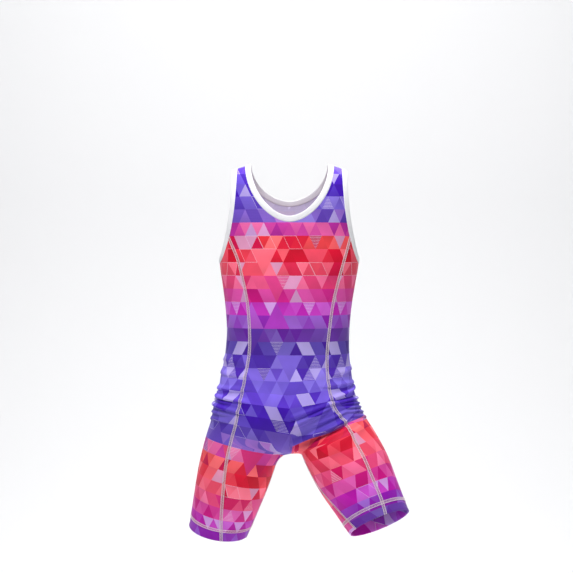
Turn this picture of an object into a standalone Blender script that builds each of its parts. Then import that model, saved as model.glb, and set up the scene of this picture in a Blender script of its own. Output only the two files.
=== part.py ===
"""Powerlifting singlet for a child, shown as worn in a wide stance with one thigh forward.

Four stretch panels are cut and sewn: a front and a back that run from the shoulders to both leg hems,
and two side panels from the armholes to the hems. A folded tape binds the neck and each armhole.
The garment is hollow, and open at the neck, the armholes and the legs.

Lengths are metres, angles are degrees, +Z is up and the front faces -Y. The origin lies between the
two shoulder straps, at the top of the shoulders that carry them. "right" and "left" are the wearer's,
so the right half lies towards -X.
"""
import math
from collections import namedtuple

import bmesh
import bpy
import numpy as np

# Cloth, hems, tapes and seams
CLOTH_WALL = 0.0012
HEM_WALL = 0.0022
HEM_DEPTH = 0.016
HEM_STEP = 0.0010
TAPE_WIDTH = 0.0078
TAPE_WALL = 0.0024
TAPE_CROWN = 0.0003
SEAM_GAP = 0.0003
INSEAM_GAP = 0.0005
TAPE_GAP = 0.00045
EDGE_STRIP = 0.0025

# The shoulders, where the cloth turns over from the front to the back
ARM_DOWN = 0.100
SHOULDER_HALF_WIDTH = 0.128
SHOULDER_TOP = 0.007
SHOULDER_FALL = 2.7
SHOULDER_ROUNDNESS = 2.3

# The trunk: a row for each level, measured down from the origin
Section = namedtuple("Section", "down centre half_width front back")
TRUNK = [
    Section(0.100, 0.0000, 0.1005, 0.066, 0.066),
    Section(0.140, -0.0005, 0.1000, 0.068, 0.066),
    Section(0.170, -0.0010, 0.0955, 0.067, 0.063),
    Section(0.200, -0.0015, 0.0912, 0.064, 0.058),
    Section(0.235, -0.0020, 0.0885, 0.061, 0.054),
    Section(0.275, -0.0035, 0.0900, 0.061, 0.058),
    Section(0.310, -0.0050, 0.0955, 0.063, 0.067),
    Section(0.345, -0.0055, 0.0960, 0.063, 0.074),
    Section(0.380, -0.0050, 0.0930, 0.061, 0.074),
]
TRUNK_ROUNDNESS = 2.4
PELVIS_DOWN = 0.347
PELVIS_DEPTH = 0.068
PELVIS_ROUNDNESS = 2.2
ALMOST_CLOSED = 0.999

# The legs: hip and hem are the middles of each leg's ends, and the angles tilt the hem's level
Leg = namedtuple("Leg", "name side hip hem crotch_lift hem_lift hem_pitch inseam_turn")
LEGS = [
    Leg("right", -1, (-0.0580, 0.004, -0.368), (-0.1045, 0.030, -0.531), 13, 10, -12, -74),
    Leg("left", 1, (0.0530, -0.004, -0.368), (0.1283, -0.0478, -0.5087), 20, 23, 22, -50),
]
Girth = namedtuple("Girth", "share right left")
LEG_RADII = [
    Girth(0.00, 0.0528, 0.0500),
    Girth(0.25, 0.0545, 0.0542),
    Girth(0.50, 0.0530, 0.0550),
    Girth(0.75, 0.0485, 0.0500),
    Girth(1.00, 0.0432, 0.0448),
]
THIGH_DEPTH = 1.04
LEG_PAST_HEM = 1.3
CROTCH_BLEND = 0.022
HIP_BLEND = 0.020

# Openings, as seen from the front: the neck scoop and the armholes
NECK_HALF_WIDTH = 0.0635
NECK_ROUNDNESS = 1.82
NECK_DROP = {"front": 0.0805, "back": 0.0560}
ARMHOLE_OUT = 0.0755
ARMHOLE_DROP = 0.1400
ARMHOLE_ROUNDNESS = 2.2
ARMHOLE_SWEEP = 0.8

# Seams between the middle panels and the side panels, as seen from the front
SEAM_TOP = 0.103
Seam = namedtuple("Seam", "down right left")
SIDE_SEAMS = [
    Seam(0.1334, 0.0735, 0.0775),
    Seam(0.1639, 0.0657, 0.0690),
    Seam(0.1929, 0.0600, 0.0620),
    Seam(0.2320, 0.0567, 0.0565),
    Seam(0.2680, 0.0572, 0.0530),
    Seam(0.3000, 0.0628, 0.0537),
    Seam(0.3230, 0.0670, 0.0570),
    Seam(0.3450, 0.0718, 0.0640),
    Seam(0.3680, 0.0765, 0.0810),
    Seam(0.3900, 0.0825, 0.0920),
    Seam(0.4100, 0.0875, 0.1030),
    Seam(0.4400, 0.0925, 0.1160),
    Seam(0.4750, 0.0960, 0.1300),
    Seam(0.5100, 0.0985, 0.1380),
    Seam(0.5450, 0.0990, 0.1420),
]

# Levels of cloth, from the shoulder to the hem. Below the waist they fan out to each leg's slope
LEVEL_DOWN = 0.170
FAN_DOWN = 0.285
LEG_LENGTH = 0.130
ROWS_BESIDE_NECK = 11
ROWS_ABOVE_LEVEL = 5
ROWS_TO_WAIST = 7
ROWS_TO_CROTCH = 26
ROWS_TO_HEM = 10
HEM_ROWS = 3
COLUMNS = {"front": 8, "side": 9, "back": 8}

# Folds of the worn cloth. A fold runs from one turn and level to another, round one half, and sags in
# between. Turn 0 is its front, 90 its outer side and 180 its back. A fold of some height bulges
# outwards, and one of less than none is a crease. The deepest crosses the top of the lifted thigh
Fold = namedtuple("Fold", "side turn down to_turn to_down sag width height")
FOLDS = [
    Fold("right", 8, 0.298, 150, 0.297, -0.001, 0.0060, 0.0014),
    Fold("right", 12, 0.320, 155, 0.320, 0.001, 0.0062, 0.0024),
    Fold("right", 10, 0.341, 140, 0.340, 0.002, 0.0050, 0.0016),
    Fold("right", 14, 0.357, 160, 0.358, 0.001, 0.0052, 0.0027),
    Fold("right", 36, 0.377, 140, 0.378, 0.000, 0.0062, 0.0013),
    Fold("right", 95, 0.402, 175, 0.404, 0.004, 0.0065, 0.0016),
    Fold("left", 26, 0.300, 140, 0.300, 0.001, 0.0060, 0.0015),
    Fold("left", 4, 0.321, 150, 0.321, -0.002, 0.0056, 0.0025),
    Fold("left", 14, 0.341, 140, 0.341, 0.001, 0.0062, 0.0022),
    Fold("left", 26, 0.361, 140, 0.361, -0.001, 0.0054, 0.0022),
    Fold("left", 30, 0.378, 140, 0.378, 0.000, 0.0056, 0.0016),
    Fold("left", 32, 0.357, -42, 0.376, 0.001, 0.0050, 0.0022),
    Fold("left", 95, 0.396, 175, 0.387, 0.003, 0.0065, 0.0017),
    Fold("left", -70, 0.399, 60, 0.381, 0.009, 0.0050, 0.0022),
    Fold("left", -74, 0.406, 62, 0.3875, 0.009, 0.0048, -0.0040),
    Fold("left", -40, 0.423, 70, 0.403, 0.006, 0.0080, 0.0015),
]
FOLD_END = 0.25

# Numeric fineness of the outline of one level
RAYS = 181
MARCH_STEPS = 40
HALVINGS = 17
REACH = 0.200
DENSE = 400
DENSE_ROW = 100
LEVELS_BELOW_ARMHOLE = 18
HALF_AXIS = 0.045
CROTCH_SEARCH = (-0.030, 0.030, 121)
NORMAL_STEP = 0.0005
SAME_LEVEL = 1e-6

CLOTH_COLOUR = (0.42, 0.25, 0.78, 1.0)
SIDE_COLOUR = (0.86, 0.16, 0.40, 1.0)
TAPE_COLOUR = (0.93, 0.93, 0.95, 1.0)


def column(rows, name):
    """One named column of a table."""
    return np.array([getattr(row, name) for row in rows], dtype=float)


def smooth(at, xs, ys):
    """A smooth curve through a table's points, read at the given places."""
    slopes = np.gradient(ys, xs)
    at = np.clip(at, xs[0], xs[-1])
    k = np.clip(np.searchsorted(xs, at, side="right") - 1, 0, len(xs) - 2)
    width = xs[k + 1] - xs[k]
    t = (at - xs[k]) / width
    start = (2 * t**3 - 3 * t**2 + 1) * ys[k] + (t**3 - 2 * t**2 + t) * width * slopes[k]
    end = (3 * t**2 - 2 * t**3) * ys[k + 1] + (t**3 - t**2) * width * slopes[k + 1]
    return start + end


def lengths_along(points):
    """Distance along a line of points, from its first point to each."""
    steps = np.linalg.norm(np.diff(points, axis=0), axis=1)
    return np.concatenate([[0.0], np.cumsum(steps)])


def column_places(low, high, columns):
    """Where a row's points go along it: evenly spaced, with a narrow strip beside each seam."""
    inner = np.linspace(low + EDGE_STRIP, high - EDGE_STRIP, columns - 1)
    return np.concatenate([[low], inner, [high]])


def points_at(points, lengths, wanted):
    """Points of a line at the wanted distances along it, or at the wanted levels."""
    return np.stack([np.interp(wanted, lengths, points[:, axis]) for axis in range(3)], axis=1)


# ---------------------------------------------------------------- the general figure's outer form


def trunk_size(down):
    downs = column(TRUNK, "down")
    names = ("centre", "half_width", "front", "back")
    return [smooth(down, downs, column(TRUNK, name)) for name in names]


def shoulder_height(x):
    """Height of the line along which the front and the back meet on the shoulder."""
    share = np.clip(1 - (np.abs(x) / SHOULDER_HALF_WIDTH) ** SHOULDER_FALL, 0, 1)
    return -ARM_DOWN + (ARM_DOWN + SHOULDER_TOP) * share ** (1 / SHOULDER_FALL)


def torso_point(x, down, face):
    """Point of the torso's front (face -1) or back (face 1), seen at x and down."""
    centre, half_width, front, back = trunk_size(np.maximum(down, ARM_DOWN))
    depth = front if face < 0 else back
    across = np.clip(1 - (np.abs(x - centre) / half_width) ** TRUNK_ROUNDNESS, 0, 1)
    rise = np.clip((ARM_DOWN - down) / (shoulder_height(x) + ARM_DOWN), 0, 1)
    over = np.clip(1 - rise**SHOULDER_ROUNDNESS, 0, 1)
    y = face * depth * across ** (1 / TRUNK_ROUNDNESS) * over ** (1 / SHOULDER_ROUNDNESS)
    y = face * np.maximum(np.abs(y), SEAM_GAP / 2)
    return np.stack([x + 0 * y, y, -down + 0 * y], axis=-1)


def trunk_field(points):
    """Roughly the distance outside the trunk, negative inside it."""
    x, y, z = np.moveaxis(points, -1, 0)
    centre, half_width, front, back = trunk_size(-z)
    closing = np.clip((-z - PELVIS_DOWN) / PELVIS_DEPTH, 0, ALMOST_CLOSED)
    shrink = (1 - closing**PELVIS_ROUNDNESS) ** (1 / PELVIS_ROUNDNESS)
    depth = np.where(y < 0, front, back)
    reach = (np.abs(x - centre) / half_width) ** TRUNK_ROUNDNESS + (np.abs(y) / depth) ** TRUNK_ROUNDNESS
    reach = reach ** (1 / TRUNK_ROUNDNESS)
    return np.maximum((reach - shrink) * (half_width + depth) / 2, -z - PELVIS_DOWN - PELVIS_DEPTH)


def leg_field(points, leg):
    """Roughly the distance outside one leg, negative inside it."""
    hip = np.array(leg.hip)
    axis = np.array(leg.hem) - hip
    share = (points - hip) @ axis / (axis @ axis)
    radius = smooth(share, column(LEG_RADII, "share"), column(LEG_RADII, leg.name))
    away = points - hip - np.clip(share, 0, LEG_PAST_HEM)[..., None] * axis
    return np.linalg.norm(away / (1, THIGH_DEPTH, 1), axis=-1) - radius


def joined(a, b, reach):
    """Two forms joined with a soft fillet."""
    near = np.maximum(reach - np.abs(a - b), 0) / reach
    return np.minimum(a, b) - near**2 * reach / 4


def figure_field(points):
    both_legs = joined(leg_field(points, LEGS[0]), leg_field(points, LEGS[1]), CROTCH_BLEND)
    return joined(trunk_field(points), both_legs, HIP_BLEND)


def outward(points):
    """Unit vectors that point straight out of the figure, by finite differences."""
    slopes = []
    for axis in np.eye(3):
        slopes.append(figure_field(points + NORMAL_STEP * axis) - figure_field(points - NORMAL_STEP * axis))
    normals = np.stack(slopes, axis=-1)
    return normals / np.linalg.norm(normals, axis=-1, keepdims=True)


def distance_out(start, rays, limits):
    """How far each ray goes before it leaves the figure, up to its limit."""
    inner = np.zeros(limits.shape)
    outer = np.full(limits.shape, np.nan)
    last = np.zeros(limits.shape)
    for step in np.linspace(0, 1, MARCH_STEPS)[1:]:
        far = limits * step
        left_it = (figure_field(start + rays * far[..., None]) > 0) & np.isnan(outer)
        outer = np.where(left_it, far, outer)
        inner = np.where(left_it, last, inner)
        last = far
    inside_all_the_way = np.isnan(outer)
    inner = np.where(inside_all_the_way, limits, inner)
    outer = np.where(inside_all_the_way, limits, outer)
    for _ in range(HALVINGS):
        middle = (inner + outer) / 2
        out = figure_field(start + rays * middle[..., None]) > 0
        outer = np.where(out, middle, outer)
        inner = np.where(out, inner, middle)
    return (inner + outer) / 2


def crotch_point():
    """Lowest point of the middle line between the legs."""
    y = np.linspace(*CROTCH_SEARCH)
    start = np.stack([0 * y, y, 0 * y - PELVIS_DOWN], axis=1)
    down = distance_out(start, np.broadcast_to((0.0, 0.0, -1.0), start.shape), np.full(y.shape, REACH))
    lowest = np.argmax(down)
    return np.array([0.0, y[lowest], -PELVIS_DOWN - down[lowest]])


CROTCH = crotch_point()
CROTCH_DOWN = -CROTCH[2]
HEM_DOWN = CROTCH_DOWN + LEG_LENGTH


def level_plane(leg, down):
    """A level as z = height + pitch * y + lift * (distance out from the middle)."""
    pitch = -math.tan(math.radians(leg.hem_pitch))
    hem_lift = math.tan(math.radians(leg.hem_lift))
    crotch_lift = math.tan(math.radians(leg.crotch_lift))
    hem_height = leg.hem[2] - pitch * leg.hem[1] - hem_lift * abs(leg.hem[0])
    stations = (0, FAN_DOWN, CROTCH_DOWN, HEM_DOWN)
    height = np.interp(down, stations, (0, -FAN_DOWN, CROTCH[2], hem_height))
    pitch = np.interp(down, stations, (0, 0, 0, pitch))
    lift = np.interp(down, stations, (0, 0, crotch_lift, hem_lift))
    return height, pitch, lift


def level_outline(leg, down):
    """The cloth's outline at one level of one half, and the turn of each of its points.

    It runs from the middle front round the outside to the middle back. Below the crotch it is the whole
    ring of the leg, from the inseam round to the inseam.
    """
    height, pitch, lift = level_plane(leg, down)
    hip = np.array(leg.hip)
    axis = np.array(leg.hem) - hip
    rise = height + pitch * hip[1] + lift * abs(hip[0]) - hip[2]
    on_leg = hip + axis * rise / (axis[2] - pitch * axis[1] - lift * leg.side * axis[0])
    share = min(max((down - FAN_DOWN) / (CROTCH_DOWN - FAN_DOWN), 0), 1)
    x = leg.side * HALF_AXIS * (1 - share) + on_leg[0] * share
    y = on_leg[1] * share
    start = np.array([x, y, height + pitch * y + lift * leg.side * x])
    out_size = math.hypot(1, lift)
    front_size = math.hypot(1, pitch)
    to_side = np.array([leg.side, 0, lift]) / out_size
    to_front = np.array([0, -1, -pitch]) / front_size

    def turn_to(point):
        away = point - start
        return math.degrees(math.atan2(away[0] * leg.side * out_size, -away[1] * front_size))

    crotch_turn = turn_to(CROTCH)
    if down < CROTCH_DOWN - SAME_LEVEL:
        middle = np.array([0, CROTCH[1], height + pitch * CROTCH[1]])
        ends = []
        for ray in (to_front, -to_front):
            far = distance_out(middle, ray, np.array(REACH))
            ends.append(turn_to(middle + ray * far))
        first = ends[0]
        last = ends[1] + 360
    else:
        first = crotch_turn + (leg.inseam_turn - crotch_turn) * (down - CROTCH_DOWN) / LEG_LENGTH
        last = first + 360
    turns = np.linspace(first, last, RAYS)
    angles = np.radians(turns)[:, None]
    rays = np.cos(angles) * to_front + np.sin(angles) * to_side
    rays = rays / np.linalg.norm(rays, axis=1, keepdims=True)
    inward = np.maximum(-rays[:, 0] * leg.side, abs(start[0]) / REACH)
    limits = abs(start[0]) / inward
    return start + rays * distance_out(start, rays, limits)[:, None], turns


# ---------------------------------------------------------------- edges and seams on that form


def armhole_out(leg, down):
    """How far out the armhole's edge lies at each level, seen from the front."""
    centre, half_width, _, _ = trunk_size(ARMHOLE_DROP)
    bottom = half_width + leg.side * centre
    share = np.clip(down / ARMHOLE_DROP, 0, 1)
    inset = (1 - share**ARMHOLE_ROUNDNESS) ** ARMHOLE_SWEEP
    return ARMHOLE_OUT + (bottom - ARMHOLE_OUT) * (1 - inset)


def seam_out(leg, down):
    """How far out the side panel's seam lies at each level, seen from the front."""
    downs = np.concatenate([[SEAM_TOP], column(SIDE_SEAMS, "down")])
    outs = np.concatenate([[armhole_out(leg, SEAM_TOP)], column(SIDE_SEAMS, leg.name)])
    return smooth(down, downs, outs)


class Level:
    """One level of one half, with the seams marked along it."""

    def __init__(self, leg, down):
        self.down = down
        self.points, self.turns = level_outline(leg, down)
        self.lengths = lengths_along(self.points)
        inside_seam = self.points[:, 0] * leg.side < seam_out(leg, -self.points[:, 2])
        outermost = int(np.argmax(self.points[:, 0] * leg.side))
        front = outermost - int(np.argmax(inside_seam[:outermost][::-1]))
        back = outermost + int(np.argmax(inside_seam[outermost:]))
        self.front_seam = self.crossing(leg, front - 1)
        self.back_seam = self.crossing(leg, back - 1)

    def crossing(self, leg, k):
        """Distance along the level at which it crosses the seam, between points k and k + 1."""
        pair = self.points[k:k + 2]
        short = seam_out(leg, -pair[:, 2]) - pair[:, 0] * leg.side
        share = short[0] / (short[0] - short[1])
        return self.lengths[k] + share * (self.lengths[k + 1] - self.lengths[k])

    def stretch(self, panel):
        """Where a panel starts and ends along the level, half a seam gap inside its neighbours."""
        ends = {
            "front": (0.0, self.front_seam),
            "side": (self.front_seam, self.back_seam),
            "back": (self.back_seam, self.lengths[-1]),
        }
        low, high = ends[panel]
        gap_inside = 0 if self.down < CROTCH_DOWN - SAME_LEVEL else INSEAM_GAP
        low += (gap_inside if panel == "front" else SEAM_GAP) / 2
        high -= (gap_inside if panel == "back" else SEAM_GAP) / 2
        return low, high

    def row(self, panel):
        """A panel's points along the level, and the turn of each."""
        low, high = self.stretch(panel)
        wanted = column_places(low, high, COLUMNS[panel])
        return points_at(self.points, self.lengths, wanted), np.interp(wanted, self.lengths, self.turns)


# ---------------------------------------------------------------- folds of the worn cloth

def fold_height(leg, turns, down):
    """How far the folds lift the cloth out of the figure at one level, or sink it in a crease."""
    height = np.zeros(turns.shape)
    for fold in FOLDS:
        if fold.side != leg.name:
            continue
        share = (turns - fold.turn) / (fold.to_turn - fold.turn)
        middle = fold.down + (fold.to_down - fold.down) * share
        middle = middle + fold.sag * 4 * np.clip(share, 0, 1) * (1 - np.clip(share, 0, 1))
        ends = np.clip(np.minimum(share, 1 - share) / FOLD_END, 0, 1)
        ends = ends * ends * (3 - 2 * ends)
        height += fold.height * ends * np.exp(-((down - middle) / fold.width) ** 2)
    return height


# ---------------------------------------------------------------- rows of each panel


def edge_places(points):
    """Places down an opening's edge, with a narrow step beside the shoulder seam."""
    lengths = lengths_along(points)
    wanted = np.concatenate([[0], np.linspace(EDGE_STRIP, lengths[-1], ROWS_BESIDE_NECK)])
    return points_at(points, lengths, wanted)


def row_between(start, end, face, seam_gap):
    """A row of the front or back between two places, each given as (x, rise).

    The rise is 1 on the shoulder line and 0 at the level of ARM_DOWN.
    """
    x, rise = np.linspace(start, end, DENSE_ROW).T
    down = ARM_DOWN - rise * (shoulder_height(x) + ARM_DOWN)
    points = torso_point(x, down, face)
    lengths = lengths_along(points)
    columns = COLUMNS["front" if face < 0 else "back"]
    return points_at(points, lengths, column_places(0, lengths[-1] - seam_gap, columns))


def rise_at(x, down):
    return (ARM_DOWN - down) / (shoulder_height(x) + ARM_DOWN)


def neck_edge(leg, panel):
    """The neck's edge from the shoulder down to the middle."""
    face = -1 if panel == "front" else 1
    turn = np.linspace(0, math.pi / 2, DENSE)
    top = -float(shoulder_height(NECK_HALF_WIDTH))
    x = NECK_HALF_WIDTH * np.cos(turn) ** (2 / NECK_ROUNDNESS)
    x[-1] = 0.0
    down = top + (NECK_DROP[panel] - top) * np.sin(turn) ** (2 / NECK_ROUNDNESS)
    return edge_places(torso_point(leg.side * x, down, face))


def armhole_edge(leg, panel):
    """The armhole's edge from the shoulder down to the side panel."""
    face = -1 if panel == "front" else 1
    top = -float(shoulder_height(ARMHOLE_OUT))
    down = top + (SEAM_TOP - top) * np.linspace(0, 1, DENSE) ** 2
    x = leg.side * armhole_out(leg, np.maximum(down, 0))
    return edge_places(torso_point(x, down, face))


def upper_rows(leg, panel):
    """Rows of the front or back from the shoulder down to the first level row."""
    face = -1 if panel == "front" else 1
    rows = []
    inner = neck_edge(leg, panel)
    outer = armhole_edge(leg, panel)
    for k in range(ROWS_BESIDE_NECK):
        ends = [(edge[k, 0], rise_at(edge[k, 0], -edge[k, 2])) for edge in (inner, outer)]
        rows.append(row_between(*ends, face, 0))
    for k in range(ROWS_ABOVE_LEVEL):
        share = k / ROWS_ABOVE_LEVEL
        middle_down = NECK_DROP[panel] + (LEVEL_DOWN - NECK_DROP[panel]) * share
        seam_down = SEAM_TOP + (LEVEL_DOWN - SEAM_TOP) * share
        seam_x = leg.side * seam_out(leg, seam_down)
        ends = ((0.0, rise_at(0.0, middle_down)), (seam_x, rise_at(seam_x, seam_down)))
        rows.append(row_between(*ends, face, SEAM_GAP / 2))
    return rows


def upper_side_rows(leg):
    """Rows of a side panel from the armhole down to the first level row."""
    downs = np.linspace(SEAM_TOP, LEVEL_DOWN, LEVELS_BELOW_ARMHOLE)
    levels = [Level(leg, down) for down in downs]
    rows = np.array([level.row("side")[0] for level in levels])
    edge_shares = [0.0, 1.0]
    edge_downs = [SEAM_TOP, SEAM_TOP]
    for level in levels[1:]:
        if level.down > ARMHOLE_DROP:
            break
        out = level.points[:, 0] * leg.side > armhole_out(leg, level.down)
        low, high = level.stretch("side")
        for k in (int(np.argmax(out)), RAYS - 1 - int(np.argmax(out[::-1]))):
            edge_shares.append((level.lengths[k] - low) / (high - low))
            edge_downs.append(level.down)
    edge_shares.append(0.5)
    edge_downs.append(ARMHOLE_DROP)
    order = np.argsort(edge_shares)
    across = levels[-1].stretch("side")[1] - levels[-1].stretch("side")[0]
    shares = column_places(0, across, COLUMNS["side"]) / across
    edge = np.interp(shares, np.array(edge_shares)[order], np.array(edge_downs)[order])
    made = []
    for k in range(ROWS_ABOVE_LEVEL):
        wanted = edge + (LEVEL_DOWN - edge) * k / ROWS_ABOVE_LEVEL
        made.append(np.array([points_at(rows[:, j], downs, [down])[0] for j, down in enumerate(wanted)]))
    return made


def level_downs():
    """Every level from the armpits to the hems, with two close ones where the hem's cloth starts."""
    torso = np.linspace(LEVEL_DOWN, FAN_DOWN, ROWS_TO_WAIST + 1)[:-1]
    hips = np.linspace(FAN_DOWN, CROTCH_DOWN, ROWS_TO_CROTCH + 1)
    legs = np.linspace(CROTCH_DOWN, HEM_DOWN - HEM_DEPTH - HEM_STEP, ROWS_TO_HEM + 1)[1:]
    hems = (HEM_DOWN - HEM_DEPTH, HEM_DOWN - HEM_DEPTH / 2, HEM_DOWN)
    return np.concatenate([torso, hips, legs, hems])


def folded_row(leg, level, panel):
    """One row of a panel, lifted by the folds."""
    points, turns = level.row(panel)
    if abs(level.down - CROTCH_DOWN) < SAME_LEVEL and panel != "side":
        middle, face = (0, -1) if panel == "front" else (-1, 1)
        points[middle] = CROTCH + (0, face * INSEAM_GAP / 2, 0)
    return points + outward(points) * fold_height(leg, turns, level.down)[:, None]


def half_panels(leg):
    """The rows of one half's front, side and back. Each row starts nearest the middle front."""
    levels = [Level(leg, down) for down in level_downs()]
    panels = {
        "front": upper_rows(leg, "front"),
        "side": upper_side_rows(leg),
        "back": [row[::-1] for row in upper_rows(leg, "back")],
    }
    for panel, rows in panels.items():
        rows.extend(folded_row(leg, level, panel) for level in levels)
    return {panel: np.array(rows) for panel, rows in panels.items()}


# ---------------------------------------------------------------- meshes


def fabric(name, colour, roughness):
    material = bpy.data.materials.new(name)
    material.use_nodes = True
    shader = material.node_tree.nodes["Principled BSDF"]
    shader.inputs["Base Color"].default_value = colour
    shader.inputs["Roughness"].default_value = roughness
    material.diffuse_color = colour
    return material


def grid_faces(bm, points, flip, closed):
    """A surface through rows of points. Returns its vertices, row by row."""
    made = [[bm.verts.new(point) for point in row] for row in points]
    pairs = list(zip(made, made[1:]))
    if closed:
        pairs.append((made[-1], made[0]))
    for upper, lower in pairs:
        for k in range(len(upper) - 1):
            corners = [upper[k], lower[k], lower[k + 1], upper[k + 1]]
            bm.faces.new(corners[::-1] if flip else corners)
    return made


def cloth_object(name, bm, material, collection, wall, hem_rows=()):
    """The middle surface of some cloth made into a wall, thicker where the hem is turned up."""
    mesh = bpy.data.meshes.new(name)
    bm.verts.index_update()
    hem = [vertex.index for row in hem_rows for vertex in row]
    bm.to_mesh(mesh)
    bm.free()
    mesh.materials.append(material)
    mesh.shade_smooth()
    cloth = bpy.data.objects.new(name, mesh)
    collection.objects.link(cloth)
    solidify = cloth.modifiers.new("wall", "SOLIDIFY")
    solidify.offset = 0
    solidify.thickness = wall
    if hem:
        group = cloth.vertex_groups.new(name="hem")
        group.add(hem, 1.0, "REPLACE")
        solidify.thickness = HEM_WALL
        solidify.vertex_group = group.name
        solidify.thickness_vertex_group = wall / HEM_WALL
    return cloth


def middle_panel(panel, halves, material, collection):
    """The front or back: two halves that share their middle line from the neck to the crotch."""
    bm = bmesh.new()
    hem_rows = []
    middles = []
    for leg, half in zip(LEGS, halves):
        made = grid_faces(bm, half[panel], leg.side < 0, False)
        hem_rows.extend(made[-HEM_ROWS:])
        middle = 0 if panel == "front" else -1
        middles.append([row[middle] for row in made])
    first = ROWS_BESIDE_NECK
    last = first + ROWS_ABOVE_LEVEL + ROWS_TO_WAIST + ROWS_TO_CROTCH
    targets = {}
    for a, b in zip(middles[0][first:last + 1], middles[1][first:last + 1]):
        a.co.x = 0
        targets[b] = a
    bmesh.ops.weld_verts(bm, targetmap=targets)
    hem_rows = [[vertex for vertex in row if vertex.is_valid] for row in hem_rows]
    return cloth_object(f"{panel}_panel", bm, material, collection, CLOTH_WALL, hem_rows)


def side_panel(leg, half, material, collection):
    bm = bmesh.new()
    made = grid_faces(bm, half["side"], leg.side < 0, False)
    return cloth_object(f"side_panel_{leg.name}", bm, material, collection, CLOTH_WALL, made[-HEM_ROWS:])


def row_normals(rows, side):
    """Outward directions at each point of a panel's rows."""
    down = np.gradient(rows, axis=0)
    across = np.gradient(rows, axis=1)
    normals = np.cross(down, across) * side
    return normals / np.linalg.norm(normals, axis=-1, keepdims=True)


def joined_edges(edges):
    """Edges run end to end round a loop, with the two points at each meeting averaged into one."""
    points = []
    normals = []
    for edge_points, edge_normals in edges:
        edge_points = list(edge_points)
        edge_normals = list(edge_normals)
        if points:
            points[-1] = (points[-1] + edge_points[0]) / 2
            normals[-1] = normals[-1] + edge_normals[0]
            edge_points = edge_points[1:]
            edge_normals = edge_normals[1:]
        points.extend(edge_points)
        normals.extend(edge_normals)
    points[0] = (points[0] + points.pop()) / 2
    normals[0] = normals[0] + normals.pop()
    normals = np.array(normals)
    return np.array(points), normals / np.linalg.norm(normals, axis=1, keepdims=True)


def tape(name, edges, side, material, collection):
    """A folded tape that carries on past the panels' edges, towards the opening."""
    points, normals = joined_edges(edges)
    along = np.roll(points, -1, axis=0) - np.roll(points, 1, axis=0)
    beyond = np.cross(along, normals) * -side
    beyond = beyond / np.linalg.norm(beyond, axis=1, keepdims=True)
    rows = []
    for share, rise in ((0, 0), (0.5, TAPE_CROWN), (1, 0)):
        rows.append(points + beyond * (TAPE_GAP + TAPE_WIDTH * share) + normals * rise)
    bm = bmesh.new()
    grid_faces(bm, np.stack(rows, axis=1), side < 0, True)
    return cloth_object(name, bm, material, collection, TAPE_WALL)


def main():
    for old in list(bpy.data.objects):
        bpy.data.objects.remove(old, do_unlink=True)
    collection = bpy.data.collections.new("powerlifting_singlet")
    bpy.context.scene.collection.children.link(collection)
    print_cloth = fabric("printed_knit", CLOTH_COLOUR, 0.6)
    side_cloth = fabric("printed_knit_side", SIDE_COLOUR, 0.6)
    white_tape = fabric("binding_tape", TAPE_COLOUR, 0.7)

    halves = [half_panels(leg) for leg in LEGS]
    middle_panel("front", halves, print_cloth, collection)
    middle_panel("back", halves, print_cloth, collection)
    for leg, half in zip(LEGS, halves):
        side_panel(leg, half, side_cloth, collection)

    top = slice(0, ROWS_BESIDE_NECK + 1)
    inner = {}
    for leg, half in zip(LEGS, halves):
        normals = {panel: row_normals(rows, leg.side) for panel, rows in half.items()}
        front = (half["front"][top, -1], normals["front"][top, -1])
        under = (half["side"][0], normals["side"][0])
        back = (half["back"][top, 0][::-1], normals["back"][top, 0][::-1])
        tape(f"armhole_binding_{leg.name}", [front, under, back], leg.side, white_tape, collection)
        inner[leg.name, "front"] = (half["front"][top, 0], normals["front"][top, 0])
        inner[leg.name, "back"] = (half["back"][top, -1], normals["back"][top, -1])
    loop = []
    for name, panel, backwards in (("right", "front", False), ("left", "front", True),
                                   ("left", "back", False), ("right", "back", True)):
        points, normals = inner[name, panel]
        loop.append((points[::-1], normals[::-1]) if backwards else (points, normals))
    tape("neck_binding", loop, 1, white_tape, collection)


main()
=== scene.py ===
"""A child's powerlifting singlet, worn in a wide stance: four panels of printed stretch knit, white
folded tapes at the neck and armholes, and flatlock seams and hems.

Lengths are metres and angles are degrees. "right" and "left" are the wearer's, so the right half lies
towards -X. The front faces -Y.
"""
import math
from collections import namedtuple

import bpy
import numpy as np
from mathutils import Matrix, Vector


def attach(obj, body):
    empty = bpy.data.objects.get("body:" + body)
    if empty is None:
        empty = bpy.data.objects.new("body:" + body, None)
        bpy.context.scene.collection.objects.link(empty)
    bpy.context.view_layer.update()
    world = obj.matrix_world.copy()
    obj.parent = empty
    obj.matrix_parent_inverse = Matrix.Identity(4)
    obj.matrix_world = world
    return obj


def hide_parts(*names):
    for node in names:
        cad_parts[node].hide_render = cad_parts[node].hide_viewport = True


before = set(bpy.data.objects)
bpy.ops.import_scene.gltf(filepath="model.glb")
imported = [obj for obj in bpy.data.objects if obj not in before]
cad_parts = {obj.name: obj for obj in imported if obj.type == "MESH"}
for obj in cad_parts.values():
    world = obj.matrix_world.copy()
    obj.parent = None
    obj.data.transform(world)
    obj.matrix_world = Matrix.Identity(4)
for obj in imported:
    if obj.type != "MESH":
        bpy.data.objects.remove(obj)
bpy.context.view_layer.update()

# ---------------------------------------------------------------- the view, the floor and the light
# The garment hangs at the height at which a child's shoulders carry it, in front of a pale seamless
# paper sweep. The camera stands level with the chest, square to the front.

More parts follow.
